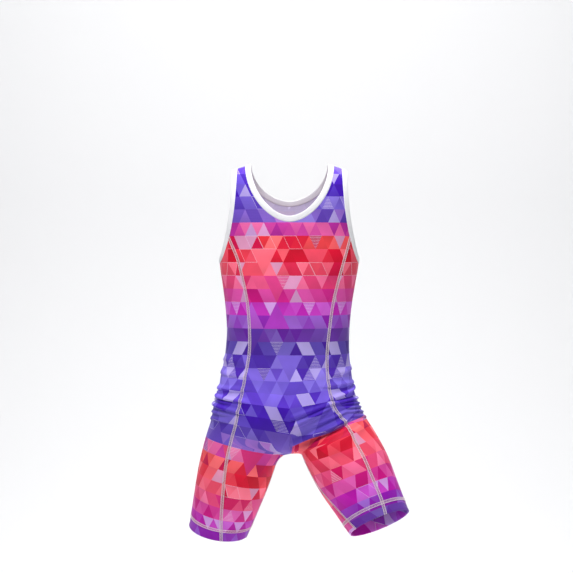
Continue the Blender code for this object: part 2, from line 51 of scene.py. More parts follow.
PHOTO_WIDTH = 0.831
SENSOR_WIDTH = 36.0
AIM = (-0.0044, 0.0, -0.1733)
EYE = (-0.0044, -2.35, -0.120)
Lamp = namedtuple("Lamp", "name place size power")
LAMPS = [
    Lamp("window", (-0.4, -1.0, 1.5), 0.6, 34),
    Lamp("fill", (1.4, -2.3, 0.8), 1.6, 9),
    Lamp("top", (0.1, 0.1, 1.9), 1.2, 8),
    Lamp("paper_light", (0.0, 0.9, 2.2), 2.4, 76),
]
LAMPS_AIM = (0, 0.1, -0.25)
ROOM_LIGHT = 0.18
ROOM_COLOUR = (0.93, 0.95, 1.0, 1.0)
FLOOR_HEIGHT = -0.97
FLOOR_FRONT = -4.0
SWEEP_START = 1.5
SWEEP_RADIUS = 1.0
SWEEP_TOP = 3.2
SWEEP_HALF_WIDTH = 5.0
SWEEP_STEPS = 16
PAPER_COLOUR = (0.90, 0.90, 0.905, 1.0)


def placed(name, data):
    """A new object in the scene."""
    thing = bpy.data.objects.new(name, data)
    bpy.context.scene.collection.objects.link(thing)
    return thing


def aimed(thing, place, target):
    """A camera or a lamp put at its place and turned to its target."""
    thing.location = place
    thing.rotation_euler = (Vector(target) - Vector(place)).to_track_quat("-Z", "Y").to_euler()
    return thing


def new_look(name, finish):
    """A material and its node tree. The finish gives the plain values on the shader's own sockets."""
    look = bpy.data.materials.new(name)
    look.use_nodes = True
    for socket, amount in finish.items():
        look.node_tree.nodes["Principled BSDF"].inputs[socket].default_value = amount
    return look, look.node_tree


camera_data = bpy.data.cameras.new("camera")
camera_data.sensor_width = SENSOR_WIDTH
camera_data.lens = SENSOR_WIDTH * (Vector(AIM) - Vector(EYE)).length / PHOTO_WIDTH
bpy.context.scene.camera = aimed(placed("camera", camera_data), EYE, AIM)

for lamp in LAMPS:
    lamp_data = bpy.data.lights.new(lamp.name, "AREA")
    lamp_data.shape = "DISK"
    lamp_data.size = lamp.size
    lamp_data.energy = lamp.power
    aimed(placed(lamp.name, lamp_data), lamp.place, LAMPS_AIM)

room = bpy.data.worlds.new("room")
room.use_nodes = True
room.node_tree.nodes["Background"].inputs["Color"].default_value = ROOM_COLOUR
room.node_tree.nodes["Background"].inputs["Strength"].default_value = ROOM_LIGHT
bpy.context.scene.world = room
bpy.context.scene.view_settings.view_transform = "Standard"

paper_profile = [(FLOOR_FRONT, FLOOR_HEIGHT)]
for turn in np.radians(np.linspace(0, 90, SWEEP_STEPS)):
    paper_profile.append((SWEEP_START + SWEEP_RADIUS * math.sin(turn),
                          FLOOR_HEIGHT + SWEEP_RADIUS * (1 - math.cos(turn))))
paper_profile.append((SWEEP_START + SWEEP_RADIUS, SWEEP_TOP))
paper_points = [(x, y, z) for y, z in paper_profile for x in (-SWEEP_HALF_WIDTH, SWEEP_HALF_WIDTH)]
paper_faces = [(2 * k, 2 * k + 1, 2 * k + 3, 2 * k + 2) for k in range(len(paper_profile) - 1)]
paper_mesh = bpy.data.meshes.new("paper_sweep")
paper_mesh.from_pydata(paper_points, [], paper_faces)
paper_mesh.shade_smooth()
paper_mesh.materials.append(new_look("pale_paper", {"Base Color": PAPER_COLOUR, "Roughness": 0.9})[0])
placed("paper_sweep", paper_mesh)

# ---------------------------------------------------------------- the worn form
# Stretch knit takes the form of what fills it. This is a general figure: a trunk with rounded
# sections, shoulders that the cloth turns over, and two round thighs joined to it with soft fillets.

ARM_DOWN = 0.100
SHOULDER_HALF_WIDTH = 0.128
SHOULDER_TOP = 0.007
SHOULDER_FALL = 2.7
SHOULDER_ROUNDNESS = 2.3

Section = namedtuple("Section", "down centre half_width front back")
TRUNK = [
    Section(0.100, 0.0000, 0.1005, 0.066, 0.066),
    Section(0.140, -0.0005, 0.1000, 0.068, 0.066),
    Section(0.170, -0.0010, 0.0955, 0.067, 0.063),
    Section(0.200, -0.0015, 0.0912, 0.064, 0.058),
    Section(0.235, -0.0020, 0.0885, 0.061, 0.054),
    Section(0.275, -0.0035, 0.0900, 0.061, 0.058),
    Section(0.310, -0.0050, 0.0955, 0.063, 0.067),
    Section(0.345, -0.0055, 0.0960, 0.063, 0.074),
    Section(0.380, -0.0050, 0.0930, 0.061, 0.074),
]
TRUNK_ROUNDNESS = 2.4
PELVIS_DOWN = 0.347
PELVIS_DEPTH = 0.068
PELVIS_ROUNDNESS = 2.2
PELVIS_CLOSES = 0.999

Leg = namedtuple("Leg", "name side hip hem crotch_lift hem_lift hem_pitch inseam_turn")
LEGS = [
    Leg("right", -1, (-0.0580, 0.004, -0.368), (-0.1045, 0.030, -0.531), 13, 10, -12, -74),
    Leg("left", 1, (0.0530, -0.004, -0.368), (0.1283, -0.0478, -0.5087), 20, 23, 22, -50),
]
Girth = namedtuple("Girth", "share right left")
LEG_RADII = [
    Girth(0.00, 0.0528, 0.0500),
    Girth(0.25, 0.0545, 0.0542),
    Girth(0.50, 0.0530, 0.0550),
    Girth(0.75, 0.0485, 0.0500),
    Girth(1.00, 0.0432, 0.0448),
]
THIGH_DEPTH = 1.04
LEG_PAST_HEM = 1.3
CROTCH_BLEND = 0.022
HIP_BLEND = 0.020
LEVEL_DOWN = 0.170
FAN_DOWN = 0.285
LEG_LENGTH = 0.130
HALF_AXIS = 0.045
INSEAM_EASE = 0.6

RAYS = 301
MARCH_STEPS = 36
HALVINGS = 16
REACH = 0.200
NORMAL_STEP = 0.0005
CROTCH_SEARCH = 0.030
CROTCH_TRIES = 121
SAME_LEVEL = 1e-6


def column(rows, name):
    """One named column of a table."""
    return np.array([getattr(row, name) for row in rows], dtype=float)


def smooth(at, xs, ys):
    """A smooth curve through a table's points, read at the given places."""
    slopes = np.gradient(ys, xs)
    at = np.clip(at, xs[0], xs[-1])
    k = np.clip(np.searchsorted(xs, at, side="right") - 1, 0, len(xs) - 2)
    width = xs[k + 1] - xs[k]
    t = (at - xs[k]) / width
    start = (2 * t**3 - 3 * t**2 + 1) * ys[k] + (t**3 - 2 * t**2 + t) * width * slopes[k]
    end = (3 * t**2 - 2 * t**3) * ys[k + 1] + (t**3 - t**2) * width * slopes[k + 1]
    return start + end


def unit(vectors):
    return vectors / np.linalg.norm(vectors, axis=-1, keepdims=True)


def trunk_size(down):
    """The trunk's centre, half width, front depth and back depth at a level."""
    downs = column(TRUNK, "down")
    return [smooth(down, downs, column(TRUNK, name)) for name in ("centre", "half_width", "front", "back")]


def shoulder_height(x):
    """Height of the line along which the front and the back meet on the shoulder."""
    share = np.clip(1 - (np.abs(x) / SHOULDER_HALF_WIDTH) ** SHOULDER_FALL, 0, 1)
    return -ARM_DOWN + (ARM_DOWN + SHOULDER_TOP) * share ** (1 / SHOULDER_FALL)


def torso_point(x, down, face):
    """Point of the torso's front (face -1) or back (face 1), seen at x and down."""
    centre, half_width, front, back = trunk_size(np.maximum(down, ARM_DOWN))
    depth = front if face < 0 else back
    across = np.clip(1 - (np.abs(x - centre) / half_width) ** TRUNK_ROUNDNESS, 0, 1)
    rise = np.clip((ARM_DOWN - down) / (shoulder_height(x) + ARM_DOWN), 0, 1)
    over = np.clip(1 - rise**SHOULDER_ROUNDNESS, 0, 1)
    y = face * depth * across ** (1 / TRUNK_ROUNDNESS) * over ** (1 / SHOULDER_ROUNDNESS)
    return np.stack([x + 0 * y, y, -down + 0 * y], axis=-1)


def trunk_field(points):
    """Roughly the distance outside the trunk, negative inside it."""
    x, y, z = np.moveaxis(points, -1, 0)
    centre, half_width, front, back = trunk_size(-z)
    closing = np.clip((-z - PELVIS_DOWN) / PELVIS_DEPTH, 0, PELVIS_CLOSES)
    shrink = (1 - closing**PELVIS_ROUNDNESS) ** (1 / PELVIS_ROUNDNESS)
    depth = np.where(y < 0, front, back)
    reach = (np.abs(x - centre) / half_width) ** TRUNK_ROUNDNESS + (np.abs(y) / depth) ** TRUNK_ROUNDNESS
    reach = reach ** (1 / TRUNK_ROUNDNESS)
    return np.maximum((reach - shrink) * (half_width + depth) / 2, -z - PELVIS_DOWN - PELVIS_DEPTH)


def leg_field(points, leg):
    """Roughly the distance outside one leg, negative inside it."""
    hip = np.array(leg.hip)
    axis = np.array(leg.hem) - hip
    share = (points - hip) @ axis / (axis @ axis)
    radius = smooth(share, column(LEG_RADII, "share"), column(LEG_RADII, leg.name))
    away = points - hip - np.clip(share, 0, LEG_PAST_HEM)[..., None] * axis
    return np.linalg.norm(away / (1, THIGH_DEPTH, 1), axis=-1) - radius


def joined(a, b, reach):
    """Two forms joined with a soft fillet."""
    near = np.maximum(reach - np.abs(a - b), 0) / reach
    return np.minimum(a, b) - near**2 * reach / 4


def figure_field(points):
    both_legs = joined(leg_field(points, LEGS[0]), leg_field(points, LEGS[1]), CROTCH_BLEND)
    return joined(trunk_field(points), both_legs, HIP_BLEND)


def outward(points):
    """Unit vectors that point straight out of the figure, by finite differences."""
    slopes = []
    for axis in np.eye(3):
        slopes.append(figure_field(points + NORMAL_STEP * axis) - figure_field(points - NORMAL_STEP * axis))
    return unit(np.stack(slopes, axis=-1))


def distance_out(start, rays, limits):
    """How far each ray goes before it leaves the figure, up to its limit."""
    inner = np.zeros(limits.shape)
    outer = np.full(limits.shape, np.nan)
    last = np.zeros(limits.shape)
    for step in np.linspace(0, 1, MARCH_STEPS)[1:]:
        far = limits * step
        left_it = (figure_field(start + rays * far[..., None]) > 0) & np.isnan(outer)
        outer = np.where(left_it, far, outer)
        inner = np.where(left_it, last, inner)
        last = far
    inside_all_the_way = np.isnan(outer)
    inner = np.where(inside_all_the_way, limits, inner)
    outer = np.where(inside_all_the_way, limits, outer)
    for _ in range(HALVINGS):
        middle = (inner + outer) / 2
        out = figure_field(start + rays * middle[..., None]) > 0
        outer = np.where(out, middle, outer)
        inner = np.where(out, inner, middle)
    return (inner + outer) / 2


def crotch_point():
    """Lowest point of the middle line between the legs."""
    y = np.linspace(-CROTCH_SEARCH, CROTCH_SEARCH, CROTCH_TRIES)
    start = np.stack([0 * y, y, 0 * y - PELVIS_DOWN], axis=1)
    down = distance_out(start, np.broadcast_to((0.0, 0.0, -1.0), start.shape), np.full(y.shape, REACH))
    lowest = np.argmax(down)
    return np.array([0.0, y[lowest], -PELVIS_DOWN - down[lowest]])


CROTCH = crotch_point()
CROTCH_DOWN = -CROTCH[2]
HEM_DOWN = CROTCH_DOWN + LEG_LENGTH


def level_planes(leg, downs):
    """Levels as z = height + pitch * y + lift * (distance out from the middle)."""
    pitch = -math.tan(math.radians(leg.hem_pitch))
    hem_lift = math.tan(math.radians(leg.hem_lift))
    crotch_lift = math.tan(math.radians(leg.crotch_lift))
    hem_height = leg.hem[2] - pitch * leg.hem[1] - hem_lift * abs(leg.hem[0])
    stations = (0, FAN_DOWN, CROTCH_DOWN, HEM_DOWN)
    at_stations = ((0, -FAN_DOWN, CROTCH[2], hem_height), (0, 0, 0, pitch), (0, 0, crotch_lift, hem_lift))
    return [np.interp(downs, stations, values) for values in at_stations]


def level_outlines(leg, downs):
    """The cloth's outline at each level of one half, and the turn of each of its points.

    It runs from the middle front round the outside to the middle back. Below the crotch it is the whole
    ring of the leg, from the inseam round to the inseam. Turn 0 is the front and 90 the outer side.
    """
    height, pitch, lift = level_planes(leg, downs)
    hip = np.array(leg.hip)
    axis = np.array(leg.hem) - hip
    rise = height + pitch * hip[1] + lift * abs(hip[0]) - hip[2]
    on_leg = hip + axis * (rise / (axis[2] - pitch * axis[1] - lift * leg.side * axis[0]))[:, None]
    share = np.clip((downs - FAN_DOWN) / (CROTCH_DOWN - FAN_DOWN), 0, 1)
    x = leg.side * HALF_AXIS * (1 - share) + on_leg[:, 0] * share
    y = on_leg[:, 1] * share
    start = np.stack([x, y, height + pitch * y + lift * leg.side * x], axis=1)
    out_size = np.hypot(1, lift)
    front_size = np.hypot(1, pitch)
    to_side = np.stack([leg.side + 0 * lift, 0 * lift, lift], axis=1) / out_size[:, None]
    to_front = np.stack([0 * pitch, 0 * pitch - 1, -pitch], axis=1) / front_size[:, None]

    def turns_to(points):
        away = points - start
        return np.degrees(np.arctan2(away[:, 0] * leg.side * out_size, -away[:, 1] * front_size))

    middle = np.stack([0 * downs, CROTCH[1] + 0 * downs, height + pitch * CROTCH[1]], axis=1)
    front_end = turns_to(middle + to_front * distance_out(middle, to_front, 0 * downs + REACH)[:, None])
    back_end = turns_to(middle - to_front * distance_out(middle, -to_front, 0 * downs + REACH)[:, None]) + 360
    crotch_turn = turns_to(np.broadcast_to(CROTCH, start.shape))
    down_leg = np.clip((downs - CROTCH_DOWN) / LEG_LENGTH, 0, 1)
    inseam = crotch_turn + (leg.inseam_turn - crotch_turn) * down_leg**INSEAM_EASE
    above = downs < CROTCH_DOWN - SAME_LEVEL
    first = np.where(above, front_end, inseam)
    last = np.where(above, back_end, inseam + 360)
    turns = first[:, None] + (last - first)[:, None] * np.linspace(0, 1, RAYS)
    angles = np.radians(turns)[..., None]
    rays = unit(np.cos(angles) * to_front[:, None] + np.sin(angles) * to_side[:, None])
    far = np.abs(start[:, 0])[:, None]
    limits = far / np.maximum(-rays[..., 0] * leg.side, far / REACH)
    start = np.broadcast_to(start[:, None], rays.shape)
    return start + rays * distance_out(start, rays, limits)[..., None], turns


# ---------------------------------------------------------------- folds where the cloth is pushed up
# The lifted thigh and the wide stance push spare knit up at the hips, in small rolls that run round
# the body, each with a sharper foot than back. A deep crease takes up cloth over the left thigh.

Fold = namedtuple("Fold", "turn down to_turn to_down sag above below height")
FOLDS = {"right": [
    Fold(4, 0.2805, 130, 0.2800, 0.000, 0.0055, 0.0014, 0.0018),
    Fold(-4, 0.3040, 120, 0.2990, 0.000, 0.0070, 0.0018, 0.0015),
    Fold(2, 0.3225, 130, 0.3310, 0.001, 0.0060, 0.0014, 0.0027),
    Fold(0, 0.3415, 135, 0.3430, 0.001, 0.0050, 0.0014, 0.0031),
    Fold(30, 0.3500, 120, 0.3490, 0.000, 0.0026, 0.0012, 0.0016),
    Fold(-2, 0.3625, 145, 0.3585, -0.001, 0.0050, 0.0013, 0.0036),
    Fold(26, 0.3680, 130, 0.3750, 0.000, 0.0032, 0.0013, 0.0019),
    Fold(20, 0.3795, 140, 0.3895, 0.000, 0.0045, 0.0020, 0.0017),
    Fold(52, 0.3310, 100, 0.3370, 0.000, 0.0024, 0.0012, 0.0013),
    Fold(95, 0.4010, 185, 0.4040, 0.004, 0.0070, 0.0040, 0.0016),
], "left": [
    Fold(2, 0.3025, 125, 0.2900, 0.000, 0.0065, 0.0017, 0.0016),
    Fold(-6, 0.3185, 130, 0.3235, 0.000, 0.0055, 0.0013, 0.0027),
    Fold(2, 0.3440, 130, 0.3225, 0.001, 0.0048, 0.0012, 0.0036),
    Fold(2, 0.3480, 130, 0.3560, 0.001, 0.0036, 0.0012, 0.0029),
    Fold(20, 0.3515, 125, 0.3735, 0.000, 0.0030, 0.0012, 0.0023),
    Fold(24, 0.3600, 125, 0.3820, 0.000, 0.0030, 0.0012, 0.0021),
    Fold(26, 0.3685, 125, 0.3935, 0.000, 0.0032, 0.0013, 0.0019),
    Fold(32, 0.3790, 120, 0.4060, 0.000, 0.0042, 0.0018, 0.0015),
    Fold(95, 0.3960, 185, 0.3860, 0.003, 0.0070, 0.0040, 0.0018),
    Fold(28, 0.3480, -46, 0.3610, 0.000, 0.0042, 0.0012, 0.0030),
    Fold(24, 0.3530, -50, 0.3730, 0.001, 0.0036, 0.0012, 0.0026),
    Fold(18, 0.3590, -62, 0.3800, 0.001, 0.0042, 0.0015, 0.0023),
    Fold(44, 0.3690, -24, 0.3800, 0.000, 0.0034, 0.0013, 0.0020),
    Fold(-76, 0.3950, 36, 0.3740, 0.002, 0.0090, 0.0060, -0.0030),
    Fold(-84, 0.4030, 44, 0.3835, 0.000, 0.0055, 0.0018, 0.0032),
    Fold(-86, 0.4080, 40, 0.3885, 0.000, 0.0016, 0.0050, -0.0070),
    Fold(-50, 0.4210, 66, 0.4020, 0.003, 0.0050, 0.0090, 0.0016),
]}
FOLD_END = 0.25
ROLL_SHARPNESS = 1.35
CreasePoint = namedtuple("CreasePoint", "turn down taken_over share")
THIGH_CREASE = [
    CreasePoint(-84, 0.4070, 0.0016, 1.0),
    CreasePoint(4, 0.3940, 0.0016, 1.0),
    CreasePoint(29, 0.3900, 0.0040, 1.0),
    CreasePoint(60, 0.3990, 0.0340, 1.0),
    CreasePoint(90, 0.4010, 0.0500, 0.9),
    CreasePoint(200, 0.4010, 0.0600, 0.0),
]
CREASE_TAKES = 0.045
CREASE_DRAWS = 0.010
CREASE_REACH = 0.035
CREASE_FROM_MIDDLE = 0.012


def eased(share):
    """A share from 0 to 1 that starts and ends gently."""
    return share * share * (3 - 2 * share)


def fold_height(leg, turns, downs):
    """How far the folds lift the cloth out of the figure, or sink it where the height is negative."""
    height = np.zeros(turns.shape)
    for fold in FOLDS[leg.name]:
        share = (turns - fold.turn) / (fold.to_turn - fold.turn)
        sag = fold.sag * 4 * np.clip(share, 0, 1) * (1 - np.clip(share, 0, 1))
        middle = fold.down + (fold.to_down - fold.down) * share + sag
        ends = eased(np.clip(np.minimum(share, 1 - share) / FOLD_END, 0, 1))
        away = (downs - middle) / np.where(downs > middle, fold.below, fold.above)
        height += fold.height * ends * np.exp(-np.abs(away) ** (2 * ROLL_SHARPNESS))
    return height


def swallowed(leg, turns, downs, outs):
    """How far the thigh's crease shifts the print, which is drawn out above it and taken up in it."""
    if leg.name != "left":
        return 0 * turns
    middle, taken_over, share = (np.interp(turns, column(THIGH_CREASE, "turn"), column(THIGH_CREASE, name))
                                 for name in ("down", "taken_over", "share"))
    passed = np.clip((downs - middle) / taken_over + 1, 0, 1)
    drawn = np.clip((downs - middle) / CREASE_REACH + 1, 0, 1)
    from_middle = np.clip(outs / CREASE_FROM_MIDDLE, 0, 1)
    shift = CREASE_TAKES * passed - CREASE_DRAWS * eased(drawn) * (1 - passed)
    return shift * share * eased(from_middle)


# ---------------------------------------------------------------- the cut: openings and seam lines
# The neck is a round scoop, the armholes are cut in towards the straps, and the seams of the side
# panels curve in to the waist and out again over the hips to the hems.

NECK_HALF_WIDTH = 0.0635
NECK_ROUNDNESS = 1.82
NECK_DROP = {"front": 0.0805, "back": 0.0560}
ARMHOLE_OUT = 0.0755
ARMHOLE_DROP = 0.1400
ARMHOLE_ROUNDNESS = 2.2
ARMHOLE_SWEEP = 0.8
SEAM_TOP = 0.103
Seam = namedtuple("Seam", "down right left")
SIDE_SEAMS = [
    Seam(0.1334, 0.0735, 0.0775),
    Seam(0.1639, 0.0657, 0.0690),
    Seam(0.1929, 0.0600, 0.0620),
    Seam(0.2320, 0.0567, 0.0565),
    Seam(0.2680, 0.0572, 0.0530),
    Seam(0.3000, 0.0628, 0.0537),
    Seam(0.3230, 0.0670, 0.0570),
    Seam(0.3450, 0.0718, 0.0640),
    Seam(0.3680, 0.0765, 0.0810),
    Seam(0.3900, 0.0825, 0.0920),
    Seam(0.4100, 0.0875, 0.1030),
    Seam(0.4400, 0.0925, 0.1160),
    Seam(0.4750, 0.0960, 0.1300),
    Seam(0.5100, 0.0985, 0.1380),
    Seam(0.5450, 0.0990, 0.1420),
]
SEAM_GAP = 0.0002
HEM_DEPTH = 0.016
ROWS_BESIDE_NECK = 56
ROWS_ABOVE_LEVEL = 26
TORSO_STEP = 0.0032
HIP_STEP = 0.0009
LEG_STEP = 0.0024
HEM_ROWS = 8
COLUMNS = {"front": 52, "side": 60, "back": 44}
DENSE = 400
EDGE_LEVELS = 60
CHART_STEPS = 30


def lengths_along(points):
    """Distance along a line of points, from its first point to each."""
    steps = np.linalg.norm(np.diff(points, axis=0), axis=1)
    return np.concatenate([[0.0], np.cumsum(steps)])


def points_at(points, lengths, wanted):
    """Points of a line at the wanted distances along it, or at the wanted levels."""
    return np.stack([np.interp(wanted, lengths, points[:, axis]) for axis in range(points.shape[1])], axis=1)


def armhole_out(leg, down):
    """How far out the armhole's edge lies at each level, seen from the front."""
    centre, half_width, _, _ = trunk_size(ARMHOLE_DROP)
    bottom = half_width + leg.side * centre
    share = np.clip(down / ARMHOLE_DROP, 0, 1)
    inset = (1 - share**ARMHOLE_ROUNDNESS) ** ARMHOLE_SWEEP
    return ARMHOLE_OUT + (bottom - ARMHOLE_OUT) * (1 - inset)


def seam_out(leg, down):
    """How far out the side panel's seam lies at each level, seen from the front."""
    downs = np.concatenate([[SEAM_TOP], column(SIDE_SEAMS, "down")])
    outs = np.concatenate([[armhole_out(leg, SEAM_TOP)], column(SIDE_SEAMS, leg.name)])
    return smooth(down, downs, outs)


class Level:
    """One level of one half, with the seams marked along it."""

    def __init__(self, leg, down, points, turns):
        self.down = down
        self.points = points
        self.turns = turns
        self.lengths = lengths_along(points)
        inside_seam = points[:, 0] * leg.side < seam_out(leg, -points[:, 2])
        outermost = int(np.argmax(points[:, 0] * leg.side))
        front = outermost - int(np.argmax(inside_seam[:outermost][::-1]))
        back = outermost + int(np.argmax(inside_seam[outermost:]))
        self.front_seam = self.crossing(leg, front - 1)
        self.back_seam = self.crossing(leg, back - 1)

    def at(self, wanted):
        """Points at the wanted distances along the level."""
        return points_at(self.points, self.lengths, wanted)

    def crossing(self, leg, k):
        """Distance along the level at which it crosses the seam, between points k and k + 1."""
        pair = self.points[k:k + 2]
        short = seam_out(leg, -pair[:, 2]) - pair[:, 0] * leg.side
        share = short[0] / (short[0] - short[1])
        return self.lengths[k] + share * (self.lengths[k + 1] - self.lengths[k])

    def stretch(self, panel):
        """Where a panel starts and ends along the level."""
        below_crotch = self.down > CROTCH_DOWN - SAME_LEVEL
        half_gap = SEAM_GAP / 2
        if panel == "front":
            return half_gap * below_crotch, self.front_seam - half_gap
        if panel == "side":
            return self.front_seam + half_gap, self.back_seam - half_gap
        return self.back_seam + half_gap, self.lengths[-1] - half_gap * below_crotch


def rise_at(x, down):
    """How far up the shoulder a place lies, from 0 at the armpits' level to 1 on the shoulder seam."""
    return (ARM_DOWN - down) / (shoulder_height(x) + ARM_DOWN)


def neck_edge(leg, panel):
    """The neck's edge from the shoulder down to the middle."""
    face = -1 if panel == "front" else 1
    turn = np.linspace(0, math.pi / 2, DENSE)
    top = -float(shoulder_height(NECK_HALF_WIDTH))
    x = NECK_HALF_WIDTH * np.cos(turn) ** (2 / NECK_ROUNDNESS)
    x[-1] = 0.0
    down = top + (NECK_DROP[panel] - top) * np.sin(turn) ** (2 / NECK_ROUNDNESS)
    return torso_point(leg.side * x, down, face)


def armhole_edge(leg, panel):
    """The armhole's edge from the shoulder down to the side panel."""
    face = -1 if panel == "front" else 1
    top = -float(shoulder_height(ARMHOLE_OUT))
    down = top + (SEAM_TOP - top) * np.linspace(0, 1, DENSE) ** 2
    return torso_point(leg.side * armhole_out(leg, np.maximum(down, 0)), down, face)


def upper_rows(leg, panel):
    """Rows of the front or back from the shoulder down to the first level row, with their flat chart."""
    face = -1 if panel == "front" else 1
    edges = []
    for edge in (neck_edge(leg, panel), armhole_edge(leg, panel)):
        lengths = lengths_along(edge)
        edges.append(points_at(edge, lengths, lengths[-1] * np.linspace(0, 1, ROWS_BESIDE_NECK + 1)))
    ends = [[(edge[k, 0], rise_at(edge[k, 0], -edge[k, 2])) for edge in edges]
            for k in range(ROWS_BESIDE_NECK)]
    for share in np.arange(ROWS_ABOVE_LEVEL) / ROWS_ABOVE_LEVEL:
        middle_down = NECK_DROP[panel] + (LEVEL_DOWN - NECK_DROP[panel]) * share
        seam_down = SEAM_TOP + (LEVEL_DOWN - SEAM_TOP) * share
        seam_x = leg.side * (seam_out(leg, seam_down) - SEAM_GAP / 2)
        ends.append([(0.0, rise_at(0.0, middle_down)), (seam_x, rise_at(seam_x, seam_down))])
    rows = []
    for start, end in ends:
        x, rise = np.linspace(start, end, DENSE // 4).T
        down = ARM_DOWN - rise * (shoulder_height(x) + ARM_DOWN)
        points = torso_point(x, down, face)
        lengths = lengths_along(points)
        rows.append(points_at(points, lengths, np.linspace(0, lengths[-1], COLUMNS[panel])))
    rows = np.array(rows)
    steps = np.linspace(0, 1, CHART_STEPS)
    x, down = rows[..., 0, None], -rows[..., 2, None]
    across = torso_point(x * steps, down + 0 * steps, face)
    below = torso_point(x + 0 * steps, down + (LEVEL_DOWN - down) * steps, face)
    chart_out = np.linalg.norm(np.diff(across, axis=2), axis=-1).sum(-1)
    chart_down = LEVEL_DOWN - np.linalg.norm(np.diff(below, axis=2), axis=-1).sum(-1)
    return rows, np.stack([chart_out * leg.side, chart_down], axis=-1)


def upper_side_rows(leg):
    """Rows of a side panel from the armhole down to the first level row, with their flat chart."""
    downs = np.linspace(SEAM_TOP, LEVEL_DOWN, EDGE_LEVELS)
    levels = [Level(leg, *made) for made in zip(downs, *level_outlines(leg, downs))]
    rows, chart = [], []
    edge_shares, edge_downs = [0.0, 1.0, 0.5], [SEAM_TOP, SEAM_TOP, ARMHOLE_DROP]
    for level in levels:
        low, high = level.stretch("side")
        wanted = np.linspace(low, high, COLUMNS["side"])
        rows.append(level.at(wanted))
        chart.append(np.stack([wanted - low, 0 * wanted + level.down], axis=1))
        out = level.points[:, 0] * leg.side > armhole_out(leg, level.down)
        if SEAM_TOP < level.down < ARMHOLE_DROP:
            for k in (int(np.argmax(out)), RAYS - 1 - int(np.argmax(out[::-1]))):
                edge_shares.append((level.lengths[k] - low) / (high - low))
                edge_downs.append(level.down)
    order = np.argsort(edge_shares)
    shares = np.linspace(0, 1, COLUMNS["side"])
    edge = np.interp(shares, np.array(edge_shares)[order], np.array(edge_downs)[order])
    edge[1:-1] = (edge[:-2] + 2 * edge[1:-1] + edge[2:]) / 4
    rows = np.concatenate([rows, chart], axis=-1)
    made = []
    for share in np.arange(ROWS_ABOVE_LEVEL) / ROWS_ABOVE_LEVEL:
        wanted = edge + (LEVEL_DOWN - edge) * share
        made.append([points_at(rows[:, j], downs, [down])[0] for j, down in enumerate(wanted)])
    made = np.array(made)
    return made[..., :3], made[..., 3:]


def level_downs():
    """Every level from the armpits to the hems, closest together over the hips."""
    torso = np.arange(LEVEL_DOWN, FAN_DOWN, TORSO_STEP)
    hips = np.linspace(FAN_DOWN, CROTCH_DOWN, round((CROTCH_DOWN - FAN_DOWN) / HIP_STEP) + 1)
    legs = np.linspace(CROTCH_DOWN, HEM_DOWN - HEM_DEPTH, round((LEG_LENGTH - HEM_DEPTH) / LEG_STEP) + 1)[1:]
    hems = np.linspace(HEM_DOWN - HEM_DEPTH, HEM_DOWN, HEM_ROWS + 1)[1:]
    return np.concatenate([torso, hips, legs, hems])


LEVEL_DOWNS = level_downs()
CROTCH_LEVEL = int(np.argmin(np.abs(LEVEL_DOWNS - CROTCH_DOWN)))
CROTCH_ROW = ROWS_BESIDE_NECK + ROWS_ABOVE_LEVEL + CROTCH_LEVEL
Cloth = namedtuple("Cloth", "points chart")


def evened_hem(points, chart):
    """Rows of a leg slid down their columns, so that the hem's turn-up has one depth all round."""
    rows = np.concatenate([points, chart], axis=-1)
    for j in range(rows.shape[1]):
        down_leg = rows[CROTCH_LEVEL:, j]
        lengths = lengths_along(down_leg[:, :3])
        stations = (0, lengths[-1 - HEM_ROWS], lengths[-1])
        wanted = np.interp(lengths, stations, (0, lengths[-1] - HEM_DEPTH, lengths[-1]))
        down_leg[:] = points_at(down_leg, lengths, wanted)
    return rows[..., :3], rows[..., 3:]


halves = {}
for leg in LEGS:
    levels = [Level(leg, *made) for made in zip(LEVEL_DOWNS, *level_outlines(leg, LEVEL_DOWNS))]
    front_lines = np.array([np.interp(0, level.turns, level.lengths) for level in levels])
    down_the_front = lengths_along(np.array([level.at([at])[0] for level, at in zip(levels, front_lines)]))
    below_crotch = LEVEL_DOWNS > CROTCH_DOWN
    drift = np.where(below_crotch, front_lines - front_lines[CROTCH_LEVEL], 0)
    leg_downs = CROTCH_DOWN + down_the_front - down_the_front[CROTCH_LEVEL]
    print_downs = np.where(below_crotch, leg_downs, LEVEL_DOWNS)
    upper_parts = {"front": upper_rows(leg, "front"), "side": upper_side_rows(leg),
                   "back": [rows[:, ::-1] for rows in upper_rows(leg, "back")]}
    for panel, upper in upper_parts.items():
        points, turns, chart = [], [], []
        for k, level in enumerate(levels):
            low, high = level.stretch(panel)
            wanted = np.linspace(low, high, COLUMNS[panel])
            points.append(level.at(wanted))
            turns.append(np.interp(wanted, level.lengths, level.turns))
            across = {"front": (wanted - drift[k]) * leg.side, "side": wanted - low,
                      "back": (level.lengths[-1] - wanted) * leg.side}[panel]
            along = print_downs[k] + swallowed(leg, turns[-1], level.down, points[-1][:, 0] * leg.side)
            chart.append(np.stack([across, along], axis=1))
        points, turns = np.array(points), np.array(turns)
        if panel != "side":
            middle, face = (0, -1) if panel == "front" else (-1, 1)
            points[CROTCH_LEVEL, middle] = CROTCH + (0, face * SEAM_GAP / 2, 0)
        points = points + outward(points) * fold_height(leg, turns, LEVEL_DOWNS[:, None])[..., None]
        points, chart = evened_hem(points, np.array(chart))
        halves[leg.name, panel] = Cloth(np.concatenate([upper[0], points]), np.concatenate([upper[1], chart]))

# ---------------------------------------------------------------- printed stretch knit
# A polyester and elastane jersey with a sublimated print: a mosaic of triangles and of pairs and
# fours of them, in bands of violet, red, pink and magenta. The back of the cloth is pale.

